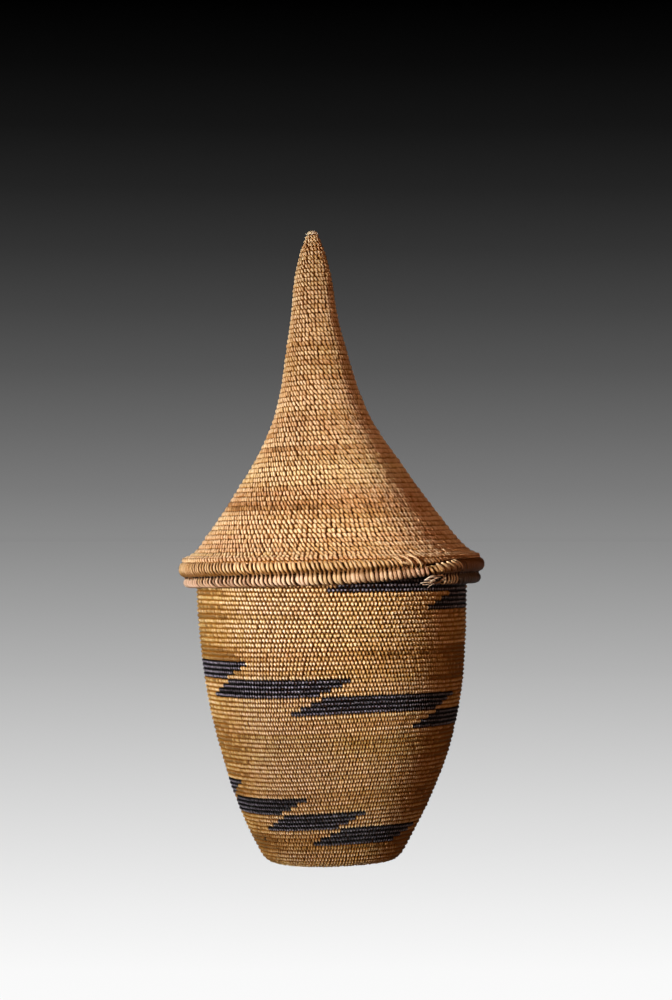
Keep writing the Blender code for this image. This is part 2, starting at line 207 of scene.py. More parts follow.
# The wraps at the mouth: width, first and last corner in degrees, half width, slant and crown
MOUTH_WRAP = 0.0019
MOUTH_CORNERS = (-160, 190)
MOUTH_STATIONS = 12
MOUTH_HALF, MOUTH_SLANT, MOUTH_CROWN = 0.47, 0.9, 0.14

# The cap in which the lid starts: splints, how far each turns and overlaps, how proud it is, and its ridges
CAP_SPLINTS = 9
CAP_STATIONS = 8
CAP_TURN, CAP_OVERLAP = 1.1, 1.1
CAP_PROUD, CAP_DROP, CAP_RIDGE, CAP_HOLE = 0.0003, 0.0006, 0.00018, 0.00015

# The rim's wraps, from the inner end over the outside to the end in the row above: corners in degrees, lift
WRAP_CORNERS = (-150, -112, -76, -42, -12, 18, 45, 72, 100)
WRAP_LIFTS = (-0.0008, -0.0005, -0.0004, -0.0004, -0.0004, -0.0004, -0.0004, -0.0005, -0.0008)
ROW_ABOVE_CORNERS = (-62, -38)
ROW_ABOVE_LIFT = 0.0003
BUNDLE_SIDES = 12
JOINT_SIDE = 3
JOINT_LIFT, BUNDLE_SINK = 0.0006, 0.0009
WIDE_WRAPS_SHARE, WIDE_WRAP = 0.06, 1.4
SLACK_LEAN = 1.4
STROKE_STATIONS, STROKE_SIDES = 9, 6
LEAST_HALF_HEIGHT = 0.0002

# Split plant fibre: how much streaks, patches and rows change its tone, and each strand its warmth
STREAK_SHARE, PATCH_SHARE, BAND_SHARE, WARMTH_SHARE = 0.55, 0.5, 0.7, 0.28
BAND_SCALES = (9.0, 9.0, 130.0)
GREENISH, REDDISH = (0.97, 1.02, 0.84), (1.03, 0.96, 1.06)

# Strands duller than the first tone are darkened, and those past the second go almost black. Some strands are
# dull at random; the rest of the darkest are painted shade, from the tables of sides and of the rim
OLD_AND_SHADED_TONE, SHADE_BLACK_TONE, DARKENING_RUN, DARKENING_SHARE = -1.8, -5.0, 1.6, 0.9
DARKENED_SHADES, BLACK_SHADE = (0.45, 0.44, 0.56), 0.1

# Ends of a crown that reach past the stitch, so that its painted highlight runs its whole length with no
# painted shade at its ends
WHOLE_CROWN = (-1.0, -0.5, 1.5, 2.0)

# The studio: where the lamps hang; then for each its place in degrees round from the front, its aim,
# its size, the spread of its beam in degrees and its colour
LAMP_DISTANCE = 1.6
LAMP_ELEVATION = radians(5)
LAMPS_OVER_FLOOR = 0.15
LAMPS = {
    "key": (-38, (0.066, 0, 0.20), 0.20, 14, (1.0, 1.0, 1.0)),
    "low": (-43, (0.038, 0, 0.062), 0.20, 9, (1.0, 1.0, 1.06)),
    "front": (3, (0, 0, 0.20), 0.50, 40, (1.0, 0.50, 0.27)),
    "side": (66, (0.055, 0, 0.170), 0.10, 8, (1.0, 0.58, 0.40)),
    "back": (180, (0, 0, 0.14), 0.80, 60, (1.0, 0.95, 0.88)),
}
CAMERA_ASIDE = 0.002
CAMERA_PITCH = radians(0.708)
NEAREST_SEEN = 0.01

# Greys of the backdrop by rise over distance from the lens, and of the floor by drop over distance
GRADE_END = 0.2
SKY_GREYS = (
    (0.0, 137), (0.0159, 122), (0.0371, 104), (0.0583, 85), (0.0795, 68), (0.1007, 51), (0.1219, 35),
    (0.1431, 21), (0.1643, 10), (0.1855, 1),
)
FLOOR_GREYS = (
    (0.0, 137), (0.0053, 141), (0.0265, 160), (0.0477, 178), (0.0689, 196), (0.0901, 212), (0.1113, 226),
    (0.1325, 239), (0.1537, 249), (0.2, 253),
)
FLOOR_CLOTH = (0.12, 0.12, 0.12)
FLOOR_REACH = 60.0
FLOOR_DROP = 0.0002
NEAREST_FLOOR = 0.4
SKY_TINT = (1.0, 0.97, 0.93)
GLOW_SHARE = 0.88
MIRRORED_SHARE = 0.3

# How finely outlines, turns and bundles are divided
OUTLINE_STEPS = 600
ARC_STEPS = 24
SPAN_STEPS = 40
SPACING_STEPS = 180
SHELL_COLUMNS = 72
SHELL_SAMPLES = 5

# Corners of a face on a map, and the margins of each stitch's cell there
CORNERS_ACROSS, CORNERS_UP = (0, 1, 1, 0), (0, 0, 1, 1)
SIDE_MARGIN, END_MARGIN = 0.08, 0.12
CAP_BOW = 0.1

# Round this much of each turn, to both sides of its front, the stitches are even
FRONT_REACH = radians(120)

# Section of a stitch from its left edge over its crown to its right edge: place across and height, as shares
RING_ACROSS, RING_DOME = np.array(
    ((-1.0, -0.5), (-0.6, 0.5), (0.0, 1.0), (0.6, 0.5), (1.0, -0.5))).T[:, None, None, :]

# A stitch from its tip in the row below to its top: place in rows, lift in rows, half width in stitches
WALL_STITCH_SHARES = (
    (-0.74, 0.06, 0.10), (-0.52, 0.17, 0.23), (-0.27, 0.31, 0.39), (-0.02, 0.43, 0.48), (0.22, 0.38, 0.46),
    (0.48, 0.06, 0.31),
)
DYED_STITCH_SHARES = (
    (-0.74, 0.06, 0.20), (-0.52, 0.17, 0.34), (-0.27, 0.31, 0.44), (-0.02, 0.43, 0.50), (0.22, 0.38, 0.50),
    (0.48, 0.10, 0.44),
)
LID_STITCH_SHARES = (
    (-0.80, 0.05, 0.07), (-0.55, 0.15, 0.20), (-0.30, 0.24, 0.41), (0.02, 0.28, 0.49), (0.30, 0.22, 0.47),
    (0.56, 0.05, 0.28),
)


def linear(*shades):
    """Scene colour of a colour given as it shows on screen, in steps from 0 to 255."""
    parts = [shade / 255 for shade in shades]
    return tuple(part / 12.92 if part <= 0.04045 else ((part + 0.055) / 1.055) ** 2.4 for part in parts)


# Settings a user may change


def a_number(name, description, default, **more):
    """A number that can be set."""
    return bpy.props.FloatProperty(name=name, description=description, default=default, **more)


def a_length(name, description, default, **more):
    """A length that can be set."""
    return a_number(name, description, default, unit="LENGTH", **more)


def a_power(name, description, default):
    """A lamp's power that can be set."""
    return a_number(name, description, default, unit="POWER")


def a_colour(name, description, *shades):
    """A colour that can be set, given as it shows on screen."""
    return bpy.props.FloatVectorProperty(
        name=name, description=description, subtype="COLOR", default=linear(*shades))


class BasketSizes(bpy.types.PropertyGroup):
    """Sizes of the stitches."""

    wall_stitch_top: a_length(
        "Wall Stitch at the Mouth", "Width of a stitch near the mouth", 0.00176, min=0.0008)
    wall_stitch_foot: a_length(
        "Wall Stitch Lower Down", "Width of a stitch from the middle down", 0.00132, min=0.0008)
    slimness: a_number("Slimness", "How much slimmer than their spacing the narrow stitches are", 0.55)
    lid_stitch: a_length("Lid Stitch", "Width of a stitch on the lid", 0.00198, min=0.0008)
    rim_stitch: a_length("Rim Stitch", "Width of a stitch of the rim's binding", 0.00190, min=0.0008)
    skirt_row: a_length("Skirt Row", "Height of a row on the lid's skirt", 0.00254, min=0.001)
    spire_row: a_length("Spire Row", "Height of a row at the lid's tip", 0.00202, min=0.001)
    bed_depth: a_length("Bed Depth", "Depth of the bundle under the stitches' crowns", 0.0010)
    unevenness: a_length("Unevenness", "How far rows and walls stray from a true turn", 0.00028)


class BasketColours(bpy.types.PropertyGroup):
    """Colours of the fibres."""

    straw: a_colour("Straw", "Pale natural stitches", 226, 189, 118)
    deep_straw: a_colour("Deep Straw", "Darker natural stitches", 190, 145, 74)
    lid_straw: a_colour("Lid Straw", "Pale stitches of the lid", 224, 180, 122)
    lid_deep: a_colour("Lid Deep Straw", "Darker stitches of the lid", 184, 130, 70)
    dyed: a_colour("Dyed", "Blue-black stitches", 11, 8, 9)
    dyed_brown: a_colour("Dyed Brown", "Stitches in which the dye has faded", 22, 16, 14)
    brown_splint: a_colour("Brown Splint", "Binding of the rim's first turn", 204, 154, 88)
    brown_deep: a_colour("Deep Brown Splint", "Darker binding of the rim's first turn", 156, 104, 50)
    pale_splint: a_colour("Pale Splint", "Binding of the rim's second turn", 228, 196, 162)
    pale_deep: a_colour("Deep Pale Splint", "Darker binding of the rim's second turn", 196, 152, 104)
    # Painted highlight and wear on the crowns of the natural, lid and brown rim stitches, and on the tip's
    # cap
    worn_and_highlit_straw: a_colour("Worn Straw", "Crowns of the natural stitches", 255, 230, 188)
    # Painted glint on the crowns of the dyed stitches
    dyed_glint: a_colour("Worn Dye", "Crowns of the dyed stitches", 152, 146, 155)
    # Painted highlight and wear on the pale binding's crowns and on the tip's cap; the frayed ends are this
    # colour too
    worn_and_highlit_pale: a_colour("Worn Pale Splint", "Crowns of the pale binding", 248, 230, 204)
    # Painted shade: the bundle is coloured dark brown so that the gaps between stitches read as shade
    bundle: a_colour("Bundle", "Grass in the gaps between stitches", 84, 46, 10)
    # Painted shade: darkens the stitches' edges and ends, where they turn into the gaps, and the grass in
    # them
    painted_shade: a_colour("Dirt", "Grime where stitches go in", 146, 90, 10)


class BasketStage(bpy.types.PropertyGroup):
    """The studio."""

    key_power: a_power("Key Power", "Power of the lamp at the front left", 0.228)
    low_power: a_power("Low Power", "Power of the lamp aimed at the body", 0.136)
    front_power: a_power("Front Power", "Power of the warm lamp that softens the shade", 0.30)
    side_power: a_power("Side Power", "Power of the faint lamp at the right of the lid", 0.008)
    back_power: a_power("Back Power", "Power of the soft lamp behind the basket", 2.8)
    sky_strength: a_number("Sky Strength", "Light from all round", 0.0, min=0.0)
    camera_distance: a_length("Camera Distance", "From the lens to the basket's axis", 1.25)
    eye_height: a_length("Eye Height", "Height of the lens over the floor", 0.144)
    lens: a_number("Focal Length", "Focal length of the lens", 101.9, subtype="DISTANCE_CAMERA")


# Turned walls and the coils sewn round them


def smooth_step(share):
    """0 below 0, 1 above 1, and a smooth rise between."""
    share = np.clip(share, 0, 1)
    return share * share * (3 - 2 * share)


def running(steps):
    """Running total of steps, from 0."""
    return np.concatenate([[0], np.cumsum(steps)])


def wall_radius(height):
    """Outer radius of the body."""
    return BELLY_RADIUS - FOOT_TAPER * np.maximum(1 - height / TAPER_HEIGHT, 0) ** TAPER_POWER


def wall_lean(height):
    """Run over rise of the body's outer side."""
    return FOOT_TAPER * TAPER_POWER / TAPER_HEIGHT * max(1 - height / TAPER_HEIGHT, 0) ** (TAPER_POWER - 1)


def body_sway(height):
    """The body stands a little to the right between its foot and its shoulder."""
    return BODY_SWAY * np.sin(pi * np.clip(height / (BODY_HEIGHT - SWAY_STOP), 0, 1))


def lid_lean(height):
    """The lid stands a little to the left of its rim, and the spire leans on further."""
    return (-SKIRT_SHIFT * smooth_step(height / SKIRT_SHIFT_RUN)
            - (LID_LEAN - SKIRT_SHIFT) * smooth_step((height - LEAN_START) / LEAN_RUN))


def foot_arc():
    """Centre radius, end height and end angle of the round between the underside and the wall."""
    end_height = 0
    for _ in range(OUTLINE_STEPS):
        slope = wall_lean(end_height)
        end_height = FOOT_ROUND * (1 - slope / hypot(1, slope))
    end_angle = atan(wall_lean(end_height))
    return wall_radius(end_height) - FOOT_ROUND * cos(end_angle), end_height, end_angle


def body_outline():
    """From the middle of the underside out, round the foot and up to the mouth, as radii and heights."""
    centre, end_height, end_angle = foot_arc()
    flat = np.linspace(0, centre, SPACING_STEPS)
    angles = np.linspace(pi / 2, end_angle, ARC_STEPS)[1:-1]
    heights = np.linspace(end_height, BODY_HEIGHT, OUTLINE_STEPS)
    return np.concatenate([
        np.stack([flat, np.zeros_like(flat)], axis=1),
        np.stack([centre + FOOT_ROUND * np.cos(angles), FOOT_ROUND * (1 - np.sin(angles))], axis=1),
        np.stack([wall_radius(heights), heights], axis=1),
    ])


def lid_outline():
    """From the lid's edge up to its tip, as rows of radius and height above the edge."""
    knots = np.array([(radius * LID_RADIUS, height * LID_HEIGHT) for radius, height in LID_OUTLINE_SHARES])
    padded = np.concatenate([knots[:1], knots, knots[-1:]])
    t = np.linspace(0, 1, SPAN_STEPS, endpoint=False)[:, None]
    line = [
        (2 * b + (c - a) * t + (2 * a - 5 * b + 4 * c - d) * t ** 2 + (3 * b - a - 3 * c + d) * t ** 3) / 2
        for a, b, c, d in zip(padded, padded[1:], padded[2:], padded[3:])
    ]
    edge = np.array([(LID_RADIUS + out, -share * EDGE_DEPTH) for out, share in LID_EDGE_POINTS])
    return np.concatenate([edge] + line + [knots[-1:]])


def joined(*parts):
    """Arrays of x, y and z as one array of points."""
    return np.stack(np.broadcast_arrays(*parts), axis=-1)


def around(radius, angle, height):
    """Points at an angle round the upright axis."""
    return joined(radius * np.sin(angle), -radius * np.cos(angle), height)


def in_lid(points):
    """Points given from the lid's own edge, in the row frame: the lid sits slightly askew."""
    x, y, z = np.moveaxis(points, -1, 0)
    return joined(
        x * cos(LID_TILT) - z * sin(LID_TILT), y, x * sin(LID_TILT) + z * cos(LID_TILT) + LID_EDGE_HEIGHT)


def on_floor(points):
    """Points of the body, with low rows that rise at the right, worn flat where it stands."""
    side, height = points[..., 0], points[..., 2]
    share = RISE_AT_FOOT_SHARE + (1 - RISE_AT_FOOT_SHARE) * smooth_step(height / RISE_FULL_HEIGHT)
    share = share * (1 - smooth_step((height - RISE_FADE_START) / RISE_FADE_RUN))
    raised = height + LOW_ROWS_RISE * smooth_step((side - RISE_LEFT_END) / RISE_WIDTH) * share
    return joined(side, points[..., 1], np.maximum(raised, 0))


class TurnedWall:
    """A turned, swaying wall, with points on it by distance along its outline, angle and stand-off."""

    def __init__(self, outline, sway, placed):
        self.radius, self.height = outline.T
        self.distance = running(np.hypot(*np.diff(outline, axis=0).T))
        along = np.gradient(outline, self.distance, axis=0)
        along /= np.hypot(*along.T)[:, None]
        self.out_radius, self.out_height = along[:, 1], -along[:, 0]
        self.sway = sway
        self.placed = placed

    def read(self, distance, values):
        """One of the outline's rows of values at these distances."""
        return np.interp(distance, self.distance, values)

    def points(self, distance, angle, out):
        """Points in the row frame."""
        radius = self.read(distance, self.radius) + out * self.read(distance, self.out_radius)
        height = self.read(distance, self.height) + out * self.read(distance, self.out_height)
        radius = np.maximum(radius, 0)
        side = radius * np.sin(angle) + self.sway(height)
        return self.placed(joined(side, -radius * np.cos(angle), height))


class Coil:
    """The rows of a coil sewn round a turned wall."""

    def __init__(self, wall, distances, rows, start_angle, stitch_width, uneven, seed):
        self.wall = wall
        self.distances = distances
        self.rows = rows
        self.start_angle = start_angle
        self.stitch_width = stitch_width
        self.uneven = uneven
        self.waves = np.random.default_rng(seed).uniform(0, 2 * pi, (2, STRAY_WAVES))

    def row_at(self, angle):
        """Rows to the middle of the coil at this unwrapped angle."""
        return (angle - self.start_angle) / (2 * pi) + 0.5

    def distance_at(self, row):
        """Distance along the wall's outline after so many rows."""
        return np.interp(row, self.rows, self.distances)

    def pitch_at(self, angle):
        """Height of a row here."""
        row = self.row_at(angle)
        return self.distance_at(row + 0.5) - self.distance_at(row - 0.5)

    def radius_at(self, angle):
        """Radius of the coil here."""
        radius = self.wall.read(self.distance_at(self.row_at(angle)), self.wall.radius)
        return np.maximum(radius, LEAST_RADIUS)

    def stray(self, which, distance, angle):
        """Smooth unevenness of the handwork: 0 is along the wall and 1 is out of it."""
        total = 0
        for wave, phase in enumerate(self.waves[which]):
            turns = STRAY_TURNS + STRAY_TURNS_STEP * wave
            total = total + np.sin((1 + wave % 3) * angle + turns * distance + phase) / (2 + wave)
        fade = smooth_step(self.wall.read(distance, self.wall.radius) / STRAY_FULL_RADIUS)
        return total * self.uneven * fade

    def points(self, angle, row_share, out):
        """Points by unwrapped angle, place in the row from -0.5 to 0.5 or past it, and stand-off."""
        distance = self.distance_at(self.row_at(angle) + row_share)
        moved = np.clip(distance + self.stray(0, distance, angle), self.distances[0], self.distances[-1])
        return self.wall.points(moved, angle, out + self.stray(1, distance, angle))

    def stitches(self, first_row, last_row, spread, shifts, step, dice):
        """Unwrapped angles and widths of the stitches between two rows of the coil.

        Those of each turn stand over those of the turn below, moved on by a share of their width, from the
        first of the shifts to the second. With a step, turns have as many stitches until their width has
        changed by it.
        """
        laps = np.arange(floor(first_row) - 2, ceil(last_row) + 3)
        front = 2 * pi * laps
        distance = self.distance_at(self.row_at(front))
        count = np.maximum(2 * pi * self.radius_at(front) / self.stitch_width(distance), LEAST_STITCHES)
        if step:
            count = np.exp(np.round(np.log(count) / step) * step)
        moved = np.cumsum(np.linspace(*shifts, len(laps)) + dice.normal(0, ODD_TURN, len(laps)))
        reach = count * FRONT_REACH / (2 * pi)
        natural = (count[1:] + count[:-1]) / 2 * (1 - FRONT_REACH / pi)
        added = running(np.round(natural + np.diff(moved) + reach[1:] + reach[:-1]))
        phases = np.stack([added - moved - reach, added - moved + reach], axis=1).ravel()
        places = np.stack([front - FRONT_REACH, front + FRONT_REACH], axis=1).ravel()
        ends = np.interp(self.start_angle + 2 * pi * (np.array([first_row, last_row]) - 0.5), places, phases)
        number = np.arange(ceil(ends[0]), floor(ends[1]))
        width = np.interp(number + 0.5, phases, places) - np.interp(number - 0.5, phases, places)
        middle = np.interp(number + dice.uniform(-spread, spread, len(number)), phases, places)
        return middle, width * self.radius_at(middle)


def strand_looks(count, shortest, longest, dice):
    """Tone and warmth of each stitch: one strand sews a run of stitches, and each strand has its own."""

    def runs(shortest, longest):
        lengths = dice.integers(shortest, longest, count // shortest + 2)
        return np.repeat(dice.normal(0, 1, (len(lengths), 2)), lengths, axis=0)[:count]

    looks = (STRAND_SPREAD * runs(shortest, longest) + SPELL_SPREAD * runs(8 * longest, 20 * longest)
             + dice.normal(0, STITCH_SPREAD, (count, 2)))
    return np.concatenate([looks, dice.uniform(0, 1, (count, 1))], axis=1)


def wall_strips(coil, angles, widths, shape, crown, slant, bed, hand, dice):
    """Points of the stitches on a wall: stitches by stations by ring. The hand is how much they differ."""
    rows, lifts, halves = np.array(shape).T[:, None, :, None]
    count = len(angles)

    def odd(spread):
        return dice.normal(0, hand * spread, count)[:, None, None]

    wide = widths[:, None, None]
    pitch = coil.pitch_at(angles)[:, None, None]
    stretch = 1 + odd(ODD_WIDTH)
    place = rows * (1 + odd(ODD_LENGTH)) + odd(ODD_PLACE)
    lean = slant * pitch * (1 + odd(ODD_SLANT))
    along = wide * halves * stretch * RING_ACROSS - lean * place + wide * odd(ODD_SIDE)
    out = -bed + pitch * lifts * (1 + odd(ODD_HEIGHT)) + wide * crown * RING_DOME * np.sqrt(halves * 2)
    turned = angles[:, None, None] + along / coil.radius_at(angles)[:, None, None]
    return coil.points(turned, place, out)


# Meshes


def new_mesh(name, points, loops, starts, layers, fields):
    """A mesh from arrays: corners of all faces in a row, where each face starts, UV maps and point fields."""
    mesh = bpy.data.meshes.new(name)
    mesh.vertices.add(len(points))
    mesh.vertices.foreach_set("co", points.astype(np.float32).ravel())
    mesh.loops.add(len(loops))
    mesh.loops.foreach_set("vertex_index", loops.astype(np.int32))
    mesh.polygons.add(len(starts))
    mesh.polygons.foreach_set("loop_start", starts.astype(np.int32))
    mesh.polygons.foreach_set("use_smooth", np.ones(len(starts), bool))
    mesh.update(calc_edges=True)
    for layer, places in layers.items():
        mesh.uv_layers.new(name=layer).uv.foreach_set("vector", places.astype(np.float32).ravel())
    for field, values in fields.items():
        mesh.attributes.new(field, "FLOAT_VECTOR", "POINT").data.foreach_set(
            "vector", values.astype(np.float32).ravel())
    return mesh


def add_piece(name, mesh, finishes, body, slot, *nodes):
    """An object for a mesh, with its finishes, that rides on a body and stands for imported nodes."""
    piece = bpy.data.objects.new(name, mesh)
    bpy.context.scene.collection.objects.link(piece)
    for finish in finishes:
        mesh.materials.append(finish)
    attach(piece, body)
    if nodes:
        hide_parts(*nodes)


def strip_mesh(name, points, looks):
    """Closed strips, one for each stitch, from points by strip, station and ring."""
    strips, stations, ring, _ = points.shape
    order = np.arange(strips * stations * ring).reshape(strips, stations, ring)
    beside = np.roll(order, -1, axis=2)
    sides = joined(order[:, :-1], beside[:, :-1], beside[:, 1:], order[:, 1:])
    caps = np.stack([order[:, 0, ::-1], order[:, -1]], axis=1)
    loops = np.concatenate([sides.ravel(), caps.ravel()])
    side_count = sides.size // 4
    starts = np.concatenate([np.arange(side_count) * 4, side_count * 4 + np.arange(2 * strips) * ring])

    # Each strip has a cell of its own on the map that colours are kept on
    columns = ceil(np.sqrt(strips))
    size = np.array([columns, ceil(strips / columns)])
    cell = np.stack(np.divmod(np.arange(strips), columns)[::-1], axis=-1)[:, None, None]

    def in_cell(u, v):
        return joined(SIDE_MARGIN + (1 - 2 * SIDE_MARGIN) * u, END_MARGIN + (1 - 2 * END_MARGIN) * v)

    share = np.arange(ring) / ring
    bow = CAP_BOW * np.sin(pi * share)
    side_map = in_cell((np.arange(ring)[:, None] + CORNERS_ACROSS) / ring,
                       (np.arange(stations - 1)[:, None, None] + CORNERS_UP) / (stations - 1))
    cap_map = np.stack([in_cell(share, -bow)[::-1], in_cell(share, 1 + bow)])
    laid = np.concatenate([
        ((cell[:, None] + side_map) / size).reshape(-1, 2), ((cell + cap_map) / size).reshape(-1, 2)])
    level = np.arange(stations)[:, None] / (stations - 1)
    place = joined(np.linspace(-1, 1, ring), level, looks[:, 2, None, None])
    tint = np.broadcast_to(looks[:, None, None], (strips, stations, ring, 3))
    return new_mesh(name, points.reshape(-1, 3), loops, starts, {"OFBake": laid},
                    {"stitch": place.reshape(-1, 3), "strand": tint.reshape(-1, 3)})


def add_strips(name, points, looks, finish, body, slot, *nodes):
    """A piece of closed strips, such as stitches."""
    add_piece(name, strip_mesh(name, points, looks), [finish], body, slot, *nodes)


def shell_mesh(name, rings, weave, split):
    """A shell through rings of points, closed to a point at both ends. Rings past split take finish 1."""
    count, columns, _ = rings.shape
    order = np.arange(count * columns).reshape(count, columns)
    beside = np.roll(order, -1, axis=1)
    sides = joined(order[:-1], beside[:-1], beside[1:], order[1:]).reshape(-1, 4)
    fans = np.concatenate([
        joined(beside[0], order[0], count * columns), joined(order[-1], beside[-1], count * columns + 1)])
    points = np.concatenate([rings.reshape(-1, 3), rings[[0, -1]].mean(axis=1)])
    loops = np.concatenate([sides.ravel(), fans.ravel()])
    starts = np.concatenate([np.arange(len(sides)) * 4, len(sides) * 4 + np.arange(len(fans)) * 3])
    column, level = np.arange(columns)[:, None], np.arange(count)
    flat = np.concatenate([
        joined((column + CORNERS_ACROSS) / columns, level[:-1, None, None] + CORNERS_UP).reshape(-1, 2),
        joined((column + (1, 0, 0.5)) / columns, (0, 0, -1)).reshape(-1, 2),
        joined((column + (0, 1, 0.5)) / columns, (count - 1, count - 1, count)).reshape(-1, 2),
    ])
    laid = joined(flat[:, 0], (flat[:, 1] + 1) / (count + 1))
    rows = joined(flat[:, 0], np.interp(flat[:, 1], level, weave))
    mesh = new_mesh(name, points, loops, starts, {"OFBake": laid, "rows": rows}, {})
    worn = np.concatenate([np.repeat(level[:-1] >= split, columns), np.zeros(columns), np.ones(columns)])
    mesh.polygons.foreach_set("material_index", worn.astype(np.int32))
    return mesh


def tubes(paths, sizes, sides):
    """Points of thin tubes along paths: tubes by stations by ring. Sizes are radii by tube and station."""
    along = np.gradient(paths, axis=1)
    along /= np.linalg.norm(along, axis=-1, keepdims=True)
    helper = np.where(np.abs(along[:, :1, 2:]) < 0.9, [0.0, 0.0, 1.0], [1.0, 0.0, 0.0])
    first = np.cross(helper, along)
    first /= np.linalg.norm(first, axis=-1, keepdims=True)
    second = np.cross(along, first)
    turn = 2 * pi * np.arange(sides) / sides
    ring = first[:, :, None] * np.cos(turn)[:, None] + second[:, :, None] * np.sin(turn)[:, None]
    return paths[:, :, None] + ring * sizes[:, :, None, None]


# Finishes


class Socket:
    """A socket of a finish, with which its maths is written as expressions."""

    def __init__(self, finish, socket):
        self.finish = finish
        self.socket = socket

    def maths(self, operation, *others):
        """A Math node on this value and others."""
        return self.finish.node("ShaderNodeMath", {"operation": operation}, dict(enumerate((self, *others))))

    def __add__(self, other):
        return self.maths("ADD", other)

    __radd__ = __add__

    def __mul__(self, other):
        return self.maths("MULTIPLY", other)

    __rmul__ = __mul__

    def __sub__(self, other):
        return self.maths("SUBTRACT", other)

    def __rsub__(self, other):
        return self.finish.node("ShaderNodeMath", {"operation": "SUBTRACT"}, {0: other, 1: self})

    def __truediv__(self, other):
        return self.maths("DIVIDE", other)

    def __rtruediv__(self, other):
        return self.finish.node("ShaderNodeMath", {"operation": "DIVIDE"}, {0: other, 1: self})

    def __pow__(self, other):
        return self.maths("POWER", other)

    def __abs__(self):
        return self.maths("ABSOLUTE")

    def clamp(self):
        """This value kept between 0 and 1."""
        return self.finish.node("ShaderNodeClamp", {}, {0: self})

    def rise(self, low, high):
        """0 below low, 1 above high, and a smooth rise between."""
        steps = {0: self, 1: low, 2: high, 3: 0, 4: 1}
        return self.finish.node("ShaderNodeMapRange", {"interpolation_type": "SMOOTHSTEP"}, steps)


class Finish:
    """Nodes under construction, of a material or of the world."""

    def __init__(self, owner):
        owner.use_nodes = True
        self.owner = owner
        self.tree = owner.node_tree
        self.tree.nodes.clear()

    def node(self, kind, settings, inputs, output=0):
        """A node of this type with its settings made first, and values or links for its sockets."""
        made = self.tree.nodes.new(kind)
        for name, value in settings.items():
            if name == "stops":
                ramp = made.color_ramp.elements
                while len(ramp) < len(value):
                    ramp.new(1)
                for stop, (place, colour) in zip(ramp, value):
                    stop.position = place
                    stop.color = (*colour, 1)
            else:
                setattr(made, name, value)
        for name, value in inputs.items():
            if isinstance(value, Socket):
                self.tree.links.new(value.socket, made.inputs[name])
            elif made.inputs[name].type == "RGBA":
                made.inputs[name].default_value = (*value, 1)
            else:
                made.inputs[name].default_value = value
        return Socket(self, made.outputs[output])

    def mix(self, share, first, second, blend="MIX"):
        """Colours mixed by a share."""
        blending = {"data_type": "RGBA", "blend_type": blend}
        return self.node("ShaderNodeMix", blending, {0: share, 6: first, 7: second}, 2)

    def parts(self, vector):
        """The three parts of a vector."""
        split = self.node("ShaderNodeSeparateXYZ", {}, {0: vector}).socket.node
        return [Socket(self, part) for part in split.outputs]

    def vector(self, x, y, z):
        """A vector from three values."""
        return self.node("ShaderNodeCombineXYZ", {}, {0: x, 1: y, 2: z})

    def field(self, name):
        """The parts of a point field of the mesh."""
        return self.parts(self.node("ShaderNodeAttribute", {"attribute_name": name}, {}, "Vector"))

    def noise(self, place, scale, detail=2.0):
        """Smooth noise from 0 to 1."""
        return self.node("ShaderNodeTexNoise", {}, {"Vector": place, "Scale": scale, "Detail": detail})

    def close(self, surface, kind="ShaderNodeOutputMaterial"):
        """Lead the shader to the output."""
        self.tree.links.new(surface.socket, self.tree.nodes.new(kind).inputs["Surface"])
        return self.owner


def new_finish(name):
    """A finish for a new material."""
    return Finish(bpy.data.materials.new(name))


def shaded(colour, *shares):
    """A colour with each of its parts, or all of them alike, taken down to a share."""
    return tuple(share * part for part, share in zip(colour, shares * (3 // len(shares))))


def fibre_surface(finish, colour, roughness, shine, height, strength, depth):
    """The surface of plant fibre, with relief."""
    relief = finish.node("ShaderNodeBump", {}, {"Height": height, "Strength": strength, "Distance": depth})
    return finish.close(finish.node("ShaderNodeBsdfPrincipled", {}, {
        "Base Color": colour, "Roughness": roughness, "Specular IOR Level": shine, "Normal": relief,
    }))


